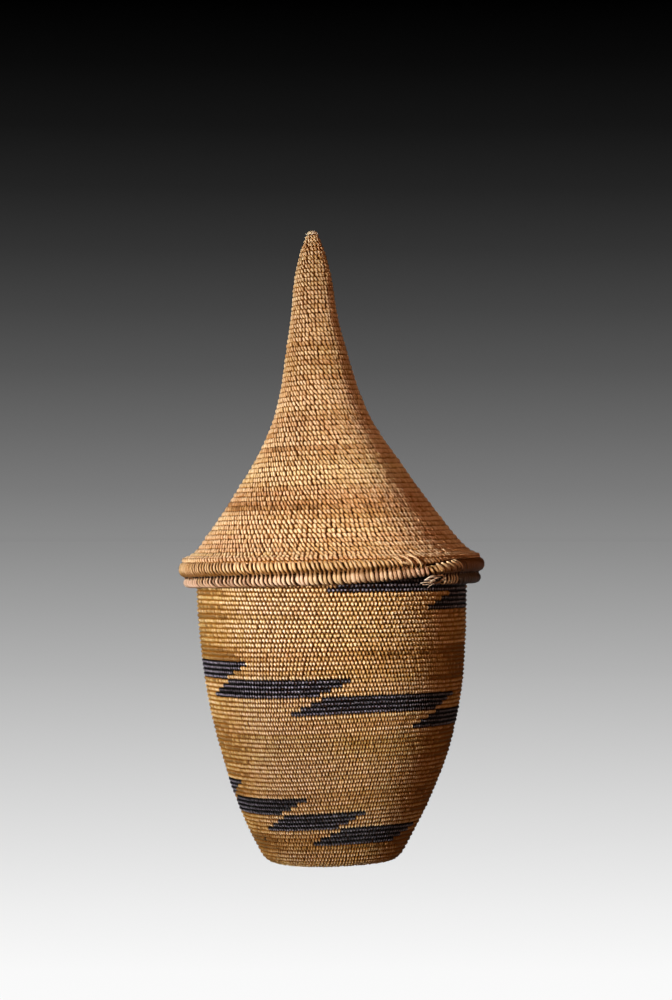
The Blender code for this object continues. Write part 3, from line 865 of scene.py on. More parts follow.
def splint_finish(name, pale, deep, painted_shade, worn, wear_and_highlight, contrast, edge, shine, roughness, ends):
    """Split plant fibre, sewn: a tone for each strand, a crown of wear and painted highlight, and painted
    shade on its edges and where it goes in.

    The ends are where along a stitch its crown comes out of the painted shade and goes back in.
    """
    finish = new_finish(name)
    across, along, seed = finish.field("stitch")
    tone, warmth, _ = finish.field("strand")
    place = finish.node("ShaderNodeTexCoord", {}, {}, "Object")
    streaks = finish.noise(
        finish.vector(across * 2.2 + seed * 37.0, along * 0.8 + seed * 11.0, seed * 5.0), 1.6, 3.0)
    patches = finish.noise(place, 46.0, 3.0)
    by_rows = finish.node("ShaderNodeVectorMath", {"operation": "MULTIPLY"}, {0: place, 1: BAND_SCALES})
    bands = finish.noise(by_rows, 1.0, 1.0)
    lightness = (0.5 + contrast * tone + STREAK_SHARE * (streaks - 0.5) + PATCH_SHARE * (patches - 0.5)
                 + BAND_SHARE * (bands - 0.5))
    fibre = finish.mix(lightness.clamp(), deep, pale)
    redness = (0.5 + WARMTH_SHARE * warmth + 1.0 * (bands - 0.5)).clamp()
    fibre = finish.mix(1.0, fibre, finish.mix(redness, GREENISH, REDDISH), "MULTIPLY")
    # Darker strands: some dull at random, the rest painted shade from the tables of sides and of the rim
    old_and_shaded = (OLD_AND_SHADED_TONE - tone).rise(0.0, DARKENING_RUN) * DARKENING_SHARE
    fibre = finish.mix(old_and_shaded, fibre, shaded(deep, *DARKENED_SHADES))
    crown = along.rise(ends[0], ends[1]) * (1 - along.rise(ends[2], ends[3]))
    # Painted highlight, with wear: the crown is paler, least on dull strands
    highlight_share = (0.8 + 0.25 * tone).clamp() * (0.6 + 0.8 * seed) * wear_and_highlight
    fibre = finish.mix((crown * (1 - abs(across).rise(0.1, 0.8)) * highlight_share).clamp(), fibre, worn)
    # Painted shade at the stitch's edges and towards both ends, where it turns into the gaps, with the
    # fibre's streaks
    edge_shade = abs(across).rise(0.30, 0.90) * (1 - 0.6 * crown) * edge
    painted_shade_share = ((1 - crown) * 0.75 + edge_shade + 0.3 * (0.5 - streaks)).clamp()
    coloured = finish.mix(painted_shade_share, fibre, painted_shade)
    # Painted shade: strands past the second tone go almost black
    black = (SHADE_BLACK_TONE - tone).rise(0.0, DARKENING_RUN) * DARKENING_SHARE
    coloured = finish.mix(black, coloured, shaded(deep, BLACK_SHADE))
    lines = finish.noise(finish.vector(across * 5.0 + seed * 23.0, along * 1.1, seed * 3.0), 2.0, 3.0)
    rough = roughness + 0.24 * lines
    return fibre_surface(finish, coloured, rough, shine, lines, strength=0.35, depth=0.0003)


def bundle_finish(name, pale, painted_shade):
    """Grass that shows in the gaps, coloured dark as painted shade, with stalks along the coil."""
    finish = new_finish(name)
    stalks = finish.noise(finish.node("ShaderNodeTexCoord", {}, {}, "Object"), 900.0, 2.0)
    coloured = finish.mix(stalks, painted_shade, pale)
    return fibre_surface(finish, coloured, 0.85 + 0.1 * stalks, 0.2, stalks, strength=0.4, depth=0.0002)


def inside_finish(name, pale, deep, painted_shade, stitches):
    """The inner side of the rows: so many stitches a turn drawn on the row map, with painted shade between
    them.
    """
    finish = new_finish(name)
    u, v, _ = finish.parts(finish.node("ShaderNodeUVMap", {"uv_map": "rows"}, {}))
    row = v.maths("FLOOR")
    in_row = v.maths("FRACT")
    slanted = u * stitches + row * 0.37 + in_row * 0.45
    across = abs(slanted.maths("FRACT") - 0.5) * 2.0
    level = abs(in_row - 0.5) * 2.0
    cell = finish.vector(slanted.maths("FLOOR"), row, 0)
    seed = finish.node("ShaderNodeTexWhiteNoise", {"noise_dimensions": "2D"}, {"Vector": cell})
    run = finish.noise(finish.vector(u * 9.0, row * 0.9, 0.0), 1.0, 1.0)
    fibre = finish.mix((0.25 + 0.5 * seed + (run - 0.5) * 1.4).clamp(), deep, pale)
    # Painted shade in the gaps between the drawn stitches and between their rows
    gap = (across.rise(0.62, 1.0) * 0.6 + level.rise(0.5, 1.0) * 0.8).clamp()
    height = (1 - across ** 3.0) * (1 - level ** 4.0)
    coloured = finish.mix(gap, fibre, painted_shade)
    return fibre_surface(finish, coloured, 0.62 + 0.2 * gap, 0.3, height, strength=0.9, depth=0.0004)


# The pieces


def slimmer(widths, sizes):
    """Widths of the splints: where stitches are close, gaps are left between them."""
    return widths - sizes.slimness * np.maximum(sizes.wall_stitch_top - widths, 0)


def body_coil(sizes):
    """The coil of the body, its rows in line with the dark blocks."""
    wall = TurnedWall(body_outline(), body_sway, on_floor)
    heights = np.linspace(0, BODY_HEIGHT, OUTLINE_STEPS)
    ladder = running(np.hypot(np.diff(wall_radius(heights)), np.diff(heights)))
    block_top = ladder[-1] - np.interp(BODY_HEIGHT - FIRST_BLOCK_DROP, heights, ladder)
    first_row = wall.distance[-1] - block_top
    first_end = FIRST_BLOCK_START + radians(BLOCK_STEPS_DEGREES[0])
    rows = np.array([-first_row, wall.distance[-1] - first_row]) / ROW_PITCH
    distances = np.array([0, wall.distance[-1]])

    def width(distance):
        share = smooth_step((distance - first_row + WIDENING_DROP) / WIDENING_RUN)
        return sizes.wall_stitch_foot + (sizes.wall_stitch_top - sizes.wall_stitch_foot) * share

    return Coil(wall, distances, rows, first_end, width, sizes.unevenness, BODY_WAVES)


def body_stitches(sizes):
    """The body's coil, the angles and widths of all its stitches, and the dice that laid them."""
    coil = body_coil(sizes)
    dice = np.random.default_rng(WALL_SEED)
    angles, widths = coil.stitches(
        coil.rows[0] + 0.6, coil.rows[-1] - 0.75, spread=0.09, shifts=(0.20, 0.52), step=0, dice=dice)
    return coil, angles, widths, dice


def lid_sewn_coil(sizes):
    """The coil of the lid: its rows grow finer up the spire."""
    wall = TurnedWall(lid_outline(), lid_lean, in_lid)
    share = smooth_step((wall.height - SPIRE_START) / SPIRE_RUN)
    pitch = sizes.skirt_row + (sizes.spire_row - sizes.skirt_row) * share
    rows = running(np.diff(wall.distance) / (pitch[1:] + pitch[:-1]) * 2)

    def width(distance):
        share = smooth_step((distance - NARROWING_START) / NARROWING_RUN)
        return sizes.lid_stitch * (1 - LID_NARROWING_SHARE * share)

    return Coil(wall, wall.distance, rows, LID_COIL_START, width, sizes.unevenness, LID_WAVES)


def block_angles():
    """Unwrapped angle of the upper left and of the lower right corner of each dark block."""
    corners = FIRST_BLOCK_START + np.radians(running(BLOCK_STEPS_DEGREES))
    ends = corners[1:].copy()
    ends[0] += FIRST_BLOCK_RUNS_ON
    return list(zip(corners, ends))


def in_block(coil, angles):
    """Which of the body's stitches are in a dark block. Its steps are as long low down as at the top."""
    dark = np.zeros(len(angles), bool)
    slant = BLOCK_SLANT * (BELLY_RADIUS / coil.radius_at(angles)) ** 0.5
    for number, (start, end) in enumerate(block_angles()):
        for row in range(BLOCK_ROWS):
            unwrapped = angles + 2 * pi * (BLOCK_ROWS * number - row)
            up = (row + 0.5) / BLOCK_ROWS - 0.5
            dark |= ((unwrapped > start - slant * (0.5 - STEEPER_ENDS * up))
                     & (unwrapped < end + slant * (0.5 + STEEPER_ENDS * up)))
    return dark


def banded(looks, places, bands):
    """Looks with a tone and a warmth added within bands, given by their middles and reaches."""
    for middle, reach, tone, warmth in bands:
        share = smooth_step(1.5 - 1.5 * abs(places - middle) / reach)
        looks[:, :2] += share[:, None] * np.array([tone, warmth])
    return looks


def toned_by_side(looks, angles, sides):
    """Looks with the strands at some sides duller or brighter, as painted light and shade."""
    return banded(looks, np.degrees(np.arctan2(np.sin(angles), np.cos(angles))), sides)


def toned_between_turns(looks, turns, spans):
    """Looks with a tone and a warmth added between two turns, eased in and out over some degrees."""
    degrees = np.degrees(turns)
    for first, last, ease, tone, warmth in spans:
        share = smooth_step((degrees - first) / ease) * smooth_step((last - degrees) / ease)
        looks[:, :2] += share[:, None] * np.array([tone, warmth])
    return looks


def straw_finish(colours):
    """The natural stitches' finish, made once."""
    return bpy.data.materials.get("natural_splint") or splint_finish(
        "natural_splint", colours.straw, colours.deep_straw, colours.painted_shade, colours.worn_and_highlit_straw, wear_and_highlight=0.8,
        contrast=0.18, edge=0.85, shine=0.22, roughness=0.42, ends=(0.18, 0.44, 0.70, 0.92))


def bundle_shade_finish(colours):
    """Painted shade in the gaps between stitches: the bundle's dark finish, made once."""
    return bpy.data.materials.get("bundle_in_gaps") or bundle_finish(
        "bundle_in_gaps", colours.bundle, shaded(colours.painted_shade, 0.4))


def coil_shell(name, coil, first, last, inner_first, bed, ridge, finishes, body, slot, *nodes):
    """The bundle under the stitches and the coil's inner side, as one closed shell round the wall."""
    angle = 2 * pi * np.arange(SHELL_COLUMNS) / SHELL_COLUMNS

    def side(start, end, base, sign):
        rows = np.linspace(start, end, max(int(abs(end - start) * SHELL_SAMPLES), 2))[:, None]
        distance = coil.distance_at(rows)
        turned = coil.start_angle + angle[None]
        in_row = rows - angle[None] / (2 * pi)
        pitch = np.abs(coil.distance_at(rows + 0.5) - coil.distance_at(rows - 0.5))
        out = base + sign * ridge * pitch * np.sin(pi * in_row) ** 2
        moved = np.clip(distance + coil.stray(0, distance, turned), coil.distances[0], coil.distances[-1])
        return coil.wall.points(moved, turned, out + coil.stray(1, distance, turned)), rows[:, 0]

    outer, outer_rows = side(first, last, -bed - BUNDLE_GAP, 1)
    inner, inner_rows = side(last, inner_first, -WALL + INSIDE_GAP, -1)
    if first > inner_first:
        outer, inner = inner[::-1], outer[::-1]
    rings, weave = np.concatenate([outer, inner]), np.concatenate([outer_rows, inner_rows])
    add_piece(name, shell_mesh(name, rings, weave, len(outer)), finishes, body, slot, *nodes)


def sew_bands(name, points, looks, bands, finish, body, slot, *nodes):
    """Stitches of a wall, in bands of rows so that no mesh is too large."""
    for band, picked in enumerate(np.array_split(np.arange(len(looks)), bands)):
        add_strips(f"{name}_{band + 1}", points[picked], looks[picked], finish, body, slot, *nodes)


class BASKET_OT_sew_wall(bpy.types.Operator):
    """Sew the natural stitches of the body, from the whorl under its foot to its mouth"""

    bl_idname = "basket.sew_wall"
    bl_label = "Sew the Wall"

    def execute(self, context):
        sizes = context.scene.basket_sizes
        coil, angles, widths, dice = body_stitches(sizes)
        looks = toned_by_side(strand_looks(len(angles), 16, 64, dice), angles, SIDE_LIGHT_AND_SHADE)
        plain = ~in_block(coil, angles)
        points = wall_strips(
            coil, angles[plain], slimmer(widths[plain], sizes), WALL_STITCH_SHARES, crown=0.40, slant=0.06,
            bed=sizes.bed_depth, hand=1.1, dice=dice)
        finish = straw_finish(context.scene.basket_colours)
        sew_bands("wall_stitches", points, looks[plain], 5, finish, "basket", "natural_coil",
                  "wall_coil", "floor_coil", "base_start_whorl")
        return {"FINISHED"}


class BASKET_OT_sew_blocks(bpy.types.Operator):
    """Sew the dyed stitches of the stepped dark blocks"""

    bl_idname = "basket.sew_blocks"
    bl_label = "Sew the Dark Blocks"

    def execute(self, context):
        sizes = context.scene.basket_sizes
        colours = context.scene.basket_colours
        coil, angles, widths, dice = body_stitches(sizes)
        looks = strand_looks(len(angles), 12, 40, dice)
        dark = in_block(coil, angles)
        if not dark.any():
            raise RuntimeError("no stitch of the body lies in a dark block")
        points = wall_strips(coil, angles[dark], widths[dark], DYED_STITCH_SHARES, crown=0.40, slant=0.06,
                             bed=sizes.bed_depth, hand=1.1, dice=dice)
        # Dyed stitches: a painted glint on each crown, and near-black painted shade at the edges and ends
        finish = splint_finish(
            "dyed_splint", colours.dyed, colours.dyed_brown, shaded(colours.dyed, 0.2), colours.dyed_glint,
            wear_and_highlight=0.8, contrast=0.22, edge=0.95, shine=0.18, roughness=0.24, ends=(0.26, 0.52, 0.64, 0.88))
        sew_bands("dyed_stitches", points, looks[dark], 1, finish, "basket", "dyed_stitch",
                  *(f"dark_block_{block + 1:02d}" for block in range(BLOCK_COUNT)))
        return {"FINISHED"}


class BASKET_OT_wind_body(bpy.types.Operator):
    """Wind the body's bundle, with the inner side of its rows"""

    bl_idname = "basket.wind_body"
    bl_label = "Wind the Body"

    def execute(self, context):
        sizes = context.scene.basket_sizes
        colours = context.scene.basket_colours
        coil = body_coil(sizes)
        inside = inside_finish("body_inside", colours.straw, colours.deep_straw, colours.painted_shade, stitches=190)
        first = coil.rows[0] + 0.3
        # The bundle's dark finish is painted shade in the gaps between stitches
        coil_shell("body_bundle", coil, first, coil.rows[-1] - 0.6, first, sizes.bed_depth, 0.26,
                   [bundle_shade_finish(colours), inside], "basket", "natural_coil", "wall_coil", "floor_coil")
        return {"FINISHED"}


class BASKET_OT_sew_mouth(bpy.types.Operator):
    """Wrap the finishing round at the mouth"""

    bl_idname = "basket.sew_mouth"
    bl_label = "Wrap the Mouth"

    def execute(self, context):
        dice = np.random.default_rng(MOUTH_SEED)
        centre = wall_radius(BODY_HEIGHT) - WALL / 2
        height = BODY_HEIGHT - WALL / 2
        count = int(2 * pi * centre / MOUTH_WRAP)
        corners = np.radians(np.linspace(*MOUTH_CORNERS, MOUTH_STATIONS))[None, :, None]
        width = 2 * pi * centre / count
        middle = 2 * pi * (np.arange(count) + dice.uniform(-0.1, 0.1, count))[:, None, None] / count
        along = width * (MOUTH_HALF * RING_ACROSS + MOUTH_SLANT * np.sin(corners / 2))
        reach = WALL / 2 - BUNDLE_GAP + MOUTH_CROWN * width * RING_DOME
        angle = middle + along / centre
        radius = centre + reach * np.cos(corners)
        points = around(radius, angle, height + reach * np.sin(corners))
        looks = strand_looks(count, 20, 60, dice)
        finish = straw_finish(context.scene.basket_colours)
        add_strips("mouth_wraps", points, looks, finish, "basket", "natural_coil", "mouth_coil")
        return {"FINISHED"}


class BASKET_OT_sew_lid(bpy.types.Operator):
    """Sew the lid's slanting stitches, and wind its bundle and inner side"""

    bl_idname = "basket.sew_lid"
    bl_label = "Sew the Lid"

    def execute(self, context):
        sizes = context.scene.basket_sizes
        colours = context.scene.basket_colours
        coil = lid_sewn_coil(sizes)
        dice = np.random.default_rng(LID_SEED)
        angles, widths = coil.stitches(
            0.3, coil.rows[-1] - 1.3, spread=0.12, shifts=(0, 0), step=0.22, dice=dice)
        looks = toned_by_side(strand_looks(len(angles), 14, 50, dice), angles, LID_SIDE_LIGHT)
        height = coil.wall.read(coil.distance_at(coil.row_at(angles)), coil.wall.height)
        looks = banded(looks, height, LID_BANDS)
        finish = splint_finish(
            "lid_splint", colours.lid_straw, colours.lid_deep, colours.painted_shade, colours.worn_and_highlit_straw, wear_and_highlight=0.6,
            contrast=0.22, edge=0.80, shine=0.22, roughness=0.42, ends=(0.14, 0.40, 0.70, 0.94))
        points = wall_strips(
            coil, angles, widths, LID_STITCH_SHARES, crown=0.30, slant=0.42, bed=sizes.bed_depth, hand=1.4,
            dice=dice)
        sew_bands("lid_stitches", points, looks, 3, finish, "lid", "lid_coil", "lid_coil")
        # The cap takes the pale crown colours all over: wear and painted highlight
        self.cap_tip(coil.wall, splint_finish(
            "tip_splint", colours.worn_and_highlit_straw, colours.lid_straw, colours.painted_shade, colours.worn_and_highlit_pale, wear_and_highlight=0.6,
            contrast=0.2, edge=0.6, shine=0.8, roughness=0.30, ends=WHOLE_CROWN), dice)
        inside = inside_finish("lid_inside", colours.lid_straw, colours.lid_deep, colours.painted_shade, stitches=120)
        ceiling = np.interp(LID_HEIGHT - SOLID_TIP, coil.wall.height, coil.wall.distance)
        inner_first = np.interp(ceiling, coil.distances, coil.rows)
        coil_shell("lid_bundle", coil, coil.rows[-1] - 0.3, 0.2, inner_first, sizes.bed_depth, 0.16,
                   [inside, bundle_shade_finish(colours)], "lid", "lid_coil", "lid_coil")
        return {"FINISHED"}

    def cap_tip(self, wall, finish, dice):
        """The smooth cap of splints in which the coil starts."""
        first = np.interp(TIP_CAP_SHARE * LID_HEIGHT, wall.height, wall.distance)
        share = np.linspace(0, 1, CAP_STATIONS)[None, :, None]
        placed = np.arange(CAP_SPLINTS) + dice.uniform(-0.15, 0.15, CAP_SPLINTS)
        middle = 2 * pi * placed[:, None, None] / CAP_SPLINTS
        angle = middle + pi / CAP_SPLINTS * CAP_OVERLAP * RING_ACROSS + CAP_TURN * share
        distance = first + share * (wall.distance[-1] - CAP_HOLE - first)
        out = (CAP_PROUD * np.sin(pi * share * 0.9 + 0.2) - CAP_DROP * share ** 2
               + CAP_RIDGE * (RING_DOME + 0.5) * (1 - share))
        looks = strand_looks(CAP_SPLINTS, 2, 4, dice)
        looks[:, 0] += 1.5
        add_strips("lid_tip_cap", wall.points(distance, angle, out), looks, finish, "lid", "lid_coil",
                   "lid_start_knot")


class RimRoll:
    """The thick coil round the lid's edge, by turn along it, corner round its section and stand-off."""

    def foot_share(self, turn):
        """Underside of the coil, as a share of the rim's height, eased along the turn."""
        places, shares = np.array(RIM_FOOT_DEGREES_AND_SHARES).T
        nearby = [np.interp(turn + radians(step), np.radians(places), shares) for step in (-8, -4, 0, 4, 8)]
        return np.mean(nearby, axis=0)

    def belly(self, depth):
        """How far the rim swells at this share of its height."""
        return RIM_BELLY * (1 - ((depth - RIM_BELLY_SHARE) / RIM_BELLY_SPREAD) ** 2)

    def outer_radius(self, drop):
        """Radius of the rim's outer side, this many millimetres under the lid's edge."""
        return RIM_INNER_RADIUS + ROLL_WIDTH + self.belly((drop / 1000 - RIM_DROP) / RIM_HEIGHT)

    def points(self, turn, corner, out):
        """Points in the row frame."""
        top = -RIM_DROP - RIM_HEIGHT * self.foot_share(turn - 2 * pi)
        foot = -RIM_DROP - RIM_HEIGHT * self.foot_share(turn)
        middle = (top + foot) / 2
        half_height = np.maximum((top - foot) / 2 + out, LEAST_HALF_HEIGHT)
        full = np.abs(np.cos(corner)) ** RIM_ROUNDNESS + np.abs(np.sin(corner)) ** RIM_ROUNDNESS
        full = full ** (-1 / RIM_ROUNDNESS)
        radius = (RIM_INNER_RADIUS + ROLL_WIDTH / 2 + self.belly((-middle - RIM_DROP) / RIM_HEIGHT)
                  + (ROLL_WIDTH / 2 + out) * full * np.cos(corner))
        angle = RIM_START - turn
        height = middle + half_height * full * np.sin(corner)
        return in_lid(around(radius, angle, height))


def rim_strips(roll, above, first, last, width, growth, slack, halves, leans, crown, dice):
    """Wraps of the rim between two turns, with their upper ends in the row above, and their turns.

    They are wider apart at the sides, by the growth, and narrower and more slanted at the left, by the slack.
    """
    middle_radius = RIM_INNER_RADIUS + ROLL_WIDTH / 2
    turns = np.linspace(first, last, SPACING_STEPS)
    widths = width * (1 + growth * np.sin(RIM_START - turns) ** 2)
    counted = running(middle_radius * (turns[1] - turns[0]) / (widths[1:] + widths[:-1]) * 2)
    count = int(counted[-1])
    middle = np.interp(np.arange(count) + 0.5 + dice.uniform(-0.12, 0.12, count), counted, turns)
    here = np.interp(middle, turns, widths)[:, None, None]
    wide = np.where(dice.uniform(0, 1, count) < WIDE_WRAPS_SHARE, WIDE_WRAP, 1) * dice.normal(1, 0.1, count)
    left = smooth_step(np.sin(middle - RIM_START) - 0.1)
    wide *= 1 - slack * left
    corner = np.radians(WRAP_CORNERS)[None, :, None] + dice.normal(0, 0.06, count)[:, None, None]
    half = np.array(halves)[None, :, None] * wide[:, None, None]
    steeper = (1 + SLACK_LEAN * slack * left) * dice.normal(1, 0.25, count)
    along = here * (half * RING_ACROSS + np.array(leans)[None, :, None] * steeper[:, None, None])
    fullness = np.sqrt(2 * np.array(halves))[None, :, None]
    out = np.array(WRAP_LIFTS)[None, :, None] + here * crown * RING_DOME * fullness
    turn = middle[:, None, None] - along / middle_radius
    points = roll.points(turn, corner, out)
    if above:
        upper = above(turn[:, -2:], out[:, -2:])
        points[:, -2] = 0.5 * points[:, -2] + 0.5 * upper[:, 0]
        points[:, -1] = upper[:, 1]
    return points, middle


class BASKET_OT_bind_rim(bpy.types.Operator):
    """Bind the rim's two turns, brown and pale, round their bundle, to the frayed end of the splice"""

    bl_idname = "basket.bind_rim"
    bl_label = "Bind the Rim"

    def execute(self, context):
        width = context.scene.basket_sizes.rim_stitch
        colours = context.scene.basket_colours
        roll = RimRoll()
        dice = np.random.default_rng(RIM_SEED)

        # Each rim finish: a crown of wear and painted highlight, and painted shade at the edges and ends
        def finish(name, pale, deep, worn, wear_and_highlight, edge, ends):
            return splint_finish(name, pale, deep, shaded(colours.painted_shade, 0.6), worn, wear_and_highlight, contrast=0.18,
                                 edge=edge, shine=0.4, roughness=0.40, ends=ends)

        def on_brown(turn, out):
            return roll.points(turn - 2 * pi, np.radians(ROW_ABOVE_CORNERS)[:, None], out + ROW_ABOVE_LIFT)

        points, turns = rim_strips(
            roll, None, BROWN_START_TURN, BROWN_END_TURN, width, growth=0.05, slack=0.30,
            halves=(0.30, 0.35, 0.39, 0.42, 0.44, 0.44, 0.42, 0.39, 0.30),
            leans=(1.3, 1.0, 0.7, 0.35, 0, -0.2, -0.35, -0.6, -1.0), crown=0.22, dice=dice)
        looks = toned_between_turns(strand_looks(len(turns), 10, 40, dice), turns, BROWN_TONES)
        brown = finish(
            "brown_rim_splint", colours.brown_splint, colours.brown_deep, colours.worn_and_highlit_straw, wear_and_highlight=0.35,
            edge=0.95, ends=(0.34, 0.54, 0.84, 1.0))
        add_strips("brown_rim_wraps", points, looks, brown, "lid", "brown_splint", "brown_rim_binding")
        points, turns = rim_strips(
            roll, on_brown, BROWN_END_TURN, LAST_WRAP_TURN, width, growth=0.40, slack=0.58,
            halves=(0.24, 0.30, 0.38, 0.45, 0.49, 0.49, 0.45, 0.35, 0.22),
            leans=(1.5, 1.25, 0.8, 0.35, 0.1, 0.0, 0.0, 0.0, 0.0), crown=0.20, dice=dice)
        looks = toned_between_turns(strand_looks(len(turns), 10, 40, dice), turns, PALE_TONES)
        last, last_turns = rim_strips(
            roll, on_brown, LAST_WRAP_TURN, PALE_END_TURN, 1.1 * width, growth=0.0, slack=0.0,
            halves=(0.12, 0.15, 0.18, 0.22, 0.24, 0.24, 0.22, 0.18, 0.12),
            leans=(0.6, 0.4, 0.2, 0.0, -0.1, 0.0, 0.1, 0.2, 0.3), crown=0.22, dice=dice)
        last_looks = strand_looks(len(last_turns), 2, 4, dice) * 0.3 + np.array([3.0, -0.8, 0.0])
        pale = finish("pale_rim_splint", colours.pale_splint, colours.pale_deep, colours.worn_and_highlit_pale, wear_and_highlight=0.5,
                      edge=0.9, ends=(0.22, 0.42, 0.66, 0.84))
        points, looks = np.concatenate([points, last]), np.concatenate([looks, last_looks])
        add_strips("pale_rim_wraps", points, looks, pale, "lid", "pale_splint", "pale_rim_binding")
        turn = np.arange(BROWN_START_TURN, PALE_END_TURN - radians(2), radians(4))[None, :, None]
        side = np.arange(BUNDLE_SIDES)[None, None, :]
        in_joint = (turn < BROWN_END_TURN) & (side == JOINT_SIDE)
        proud = np.where(in_joint, JOINT_LIFT, -BUNDLE_SINK)
        bundle = roll.points(turn, -2 * pi * side / BUNDLE_SIDES, proud)
        # Painted shade: the rim's bundle is darker still, so its gaps read as shade where the lamps reach in
        dark = bundle_finish("rim_bundle_in_gaps", shaded(colours.bundle, 0.3), shaded(colours.painted_shade, 0.15))
        add_strips("rim_bundle", bundle, np.zeros((1, 3)), dark, "lid", "grass_bundle", "rim_foundation")
        # The loose splints and frayed ends carry wear and painted highlight along their whole length
        self.lay_ends(roll, "rim_strays", RIM_STRAYS, "brown_splint", finish(
            "stray_splint", colours.brown_splint, colours.brown_deep, colours.worn_and_highlit_straw, wear_and_highlight=0.5, edge=0.3,
            ends=WHOLE_CROWN))
        self.lay_ends(roll, "splice_ends", SPLICE_ENDS, "pale_splint", finish(
            "frayed_splint", colours.worn_and_highlit_pale, colours.pale_splint, colours.worn_and_highlit_pale, wear_and_highlight=0.8, edge=0.2,
            ends=WHOLE_CROWN))
        return {"FINISHED"}

    def lay_ends(self, roll, name, runs, slot, finish):
        """Loose splints over the rim, and the frayed ends of its splice."""
        share = np.linspace(0, 1, STROKE_STATIONS)
        paths, sizes, looks = [], [], []
        for places, size, tone, warmth in runs:
            steps = np.linspace(0, 1, len(places))
            azimuth, drop, proud = (
                np.polyval(np.polyfit(steps, values, min(3, len(steps) - 1)), share)
                for values in np.array(places).T)
            angle = np.radians(azimuth)
            radius = roll.outer_radius(drop) + proud / 1000
            paths.append(in_lid(around(radius, angle, -drop / 1000)))
            sizes.append(size / 1000 * np.sqrt(np.clip(1.15 - (2 * share - 1) ** 4, 0.15, 1)))
            looks.append((tone, warmth, 0.5))
        points = tubes(np.array(paths), np.array(sizes), STROKE_SIDES)
        add_strips(name, points, np.array(looks), finish, "lid", slot)


# The studio


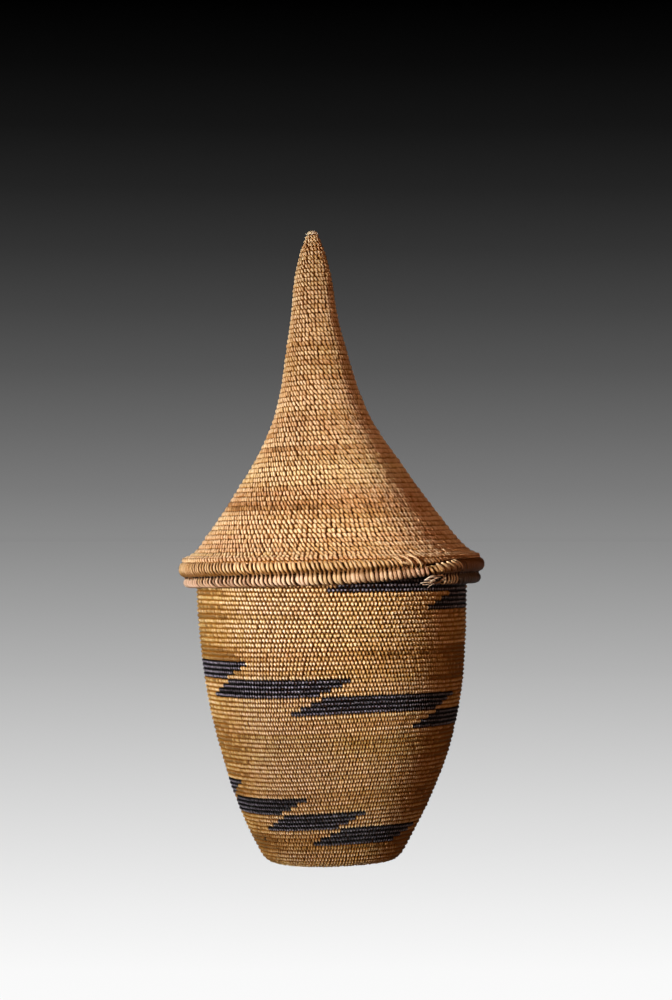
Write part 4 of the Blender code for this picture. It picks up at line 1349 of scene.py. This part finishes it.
class BASKET_OT_set_stage(bpy.types.Operator):
    """Lay the floor, hang the lamps and the backdrop, and set up the camera"""

    bl_idname = "basket.set_stage"
    bl_label = "Set the Stage"

    def execute(self, context):
        stage = context.scene.basket_stage
        scene = context.scene
        scene.view_settings.view_transform = "Standard"
        scene.world = self.backdrop(stage)
        self.floor(stage)
        for name, (azimuth, aimed_at, size, spread, tint) in LAMPS.items():
            self.lamp(f"{name}_lamp", azimuth, aimed_at, size, spread, getattr(stage, f"{name}_power"), tint)
        lens = bpy.data.cameras.new("photo_camera")
        lens.lens = stage.lens
        lens.clip_start = NEAREST_SEEN
        camera = bpy.data.objects.new("photo_camera", lens)
        camera.location = (CAMERA_ASIDE, -stage.camera_distance, stage.eye_height)
        camera.rotation_euler = (pi / 2 + CAMERA_PITCH, 0, 0)
        scene.collection.objects.link(camera)
        scene.camera = camera
        return {"FINISHED"}

    def graded(self, finish, value, greys):
        """Greys by a value."""
        stops = [(place / GRADE_END, linear(grey, grey, grey)) for place, grey in greys]
        return finish.node("ShaderNodeValToRGB", {"stops": stops}, {0: value / GRADE_END})

    def looked_at(self, finish):
        """1 for what the camera sees, less for what the basket mirrors, and 0 for light that falls on it."""
        rays = finish.node("ShaderNodeLightPath", {}, {}).socket.node.outputs
        mirrored = Socket(finish, rays["Is Glossy Ray"]) * MIRRORED_SHARE
        seen = Socket(finish, rays["Is Camera Ray"]).maths("MAXIMUM", mirrored)
        return seen.maths("MAXIMUM", Socket(finish, rays["Is Transmission Ray"]))

    def backdrop(self, stage):
        """A sky that grades from grey at the horizon to black, as the camera sees it."""
        world = Finish(bpy.data.worlds.new("graded_backdrop"))
        _, _, height = world.parts(world.node("ShaderNodeTexCoord", {}, {}, "Generated"))
        seen = self.graded(world, height, SKY_GREYS)
        shown = world.node("ShaderNodeBackground", {}, {"Color": seen, "Strength": 1.0})
        light = world.node("ShaderNodeBackground", {}, {"Color": SKY_TINT, "Strength": stage.sky_strength})
        mixed = world.node("ShaderNodeMixShader", {}, {0: self.looked_at(world), 1: light, 2: shown})
        return world.close(mixed, "ShaderNodeOutputWorld")

    def floor(self, stage):
        """A wide pale floor whose colour grades into the backdrop, as on a studio sweep."""
        finish = new_finish("pale_floor")
        _, depth, _ = finish.parts(finish.node("ShaderNodeTexCoord", {}, {}, "Object"))
        drop = stage.eye_height / (depth + stage.camera_distance).maths("MAXIMUM", NEAREST_FLOOR)
        seen = self.graded(finish, drop, FLOOR_GREYS)
        cloth = finish.node("ShaderNodeBsdfDiffuse", {}, {"Color": FLOOR_CLOTH})
        glow = finish.node("ShaderNodeEmission", {}, {"Color": seen, "Strength": 1 / GLOW_SHARE})
        seen_share = self.looked_at(finish) * GLOW_SHARE
        mixed = finish.node("ShaderNodeMixShader", {}, {0: seen_share, 1: cloth, 2: glow})
        mesh = bpy.data.meshes.new("studio_floor")
        corners = [(x * FLOOR_REACH, y * FLOOR_REACH, 0) for x, y in ((-1, -1), (1, -1), (1, 1), (-1, 1))]
        mesh.from_pydata(corners, [], [(0, 1, 2, 3)])
        mesh.materials.append(finish.close(mixed))
        floor = bpy.data.objects.new("studio_floor", mesh)
        floor.location = (0, 0, -FLOOR_DROP)
        bpy.context.scene.collection.objects.link(floor)

    def lamp(self, name, azimuth, aimed_at, size, spread, energy, tint):
        """A soft square lamp with a narrow beam, turned towards a place on the basket."""
        light = bpy.data.lights.new(name, "AREA")
        light.size = size
        light.spread = radians(spread)
        light.energy = energy
        light.color = tint
        lamp = bpy.data.objects.new(name, light)
        level = LAMP_DISTANCE * cos(LAMP_ELEVATION)
        place = (level * sin(radians(azimuth)), -level * cos(radians(azimuth)),
                 LAMPS_OVER_FLOOR + LAMP_DISTANCE * sin(LAMP_ELEVATION))
        lamp.location = place
        x, y, z = np.array(aimed_at) - np.array(place)
        lamp.rotation_euler = (np.arctan2(np.hypot(x, y), -z), 0, np.arctan2(y, x) - pi / 2)
        bpy.context.scene.collection.objects.link(lamp)


PIECES = (
    BASKET_OT_wind_body, BASKET_OT_sew_wall, BASKET_OT_sew_blocks, BASKET_OT_sew_mouth, BASKET_OT_sew_lid,
    BASKET_OT_bind_rim, BASKET_OT_set_stage,
)


class BASKET_PT_panel(bpy.types.Panel):
    """The basket's settings and the pieces that can be made"""

    bl_label = "Coiled Basket"
    bl_space_type = "VIEW_3D"
    bl_region_type = "UI"
    bl_category = "Basket"

    def draw(self, context):
        layout = self.layout
        for group in ("basket_sizes", "basket_colours", "basket_stage"):
            box = layout.box()
            settings = getattr(context.scene, group)
            for name in settings.__annotations__:
                box.prop(settings, name)
        for piece in PIECES:
            layout.operator(piece.bl_idname)


GROUPS = {"basket_sizes": BasketSizes, "basket_colours": BasketColours, "basket_stage": BasketStage}
CLASSES = (*GROUPS.values(), *PIECES, BASKET_PT_panel)


def register():
    """Make the classes known and give the scene their settings."""
    for made in CLASSES:
        bpy.utils.register_class(made)
    for name, group in GROUPS.items():
        setattr(bpy.types.Scene, name, bpy.props.PointerProperty(type=group))


def unregister():
    """Take the settings and the classes away."""
    for name in GROUPS:
        delattr(bpy.types.Scene, name)
    for made in reversed(CLASSES):
        bpy.utils.unregister_class(made)


def main():
    """Make every piece and the stage."""
    register()
    bpy.ops.basket.wind_body()
    bpy.ops.basket.sew_wall()
    bpy.ops.basket.sew_blocks()
    bpy.ops.basket.sew_mouth()
    bpy.ops.basket.sew_lid()
    bpy.ops.basket.bind_rim()
    bpy.ops.basket.set_stage()


if __name__ == "__main__":
    main()
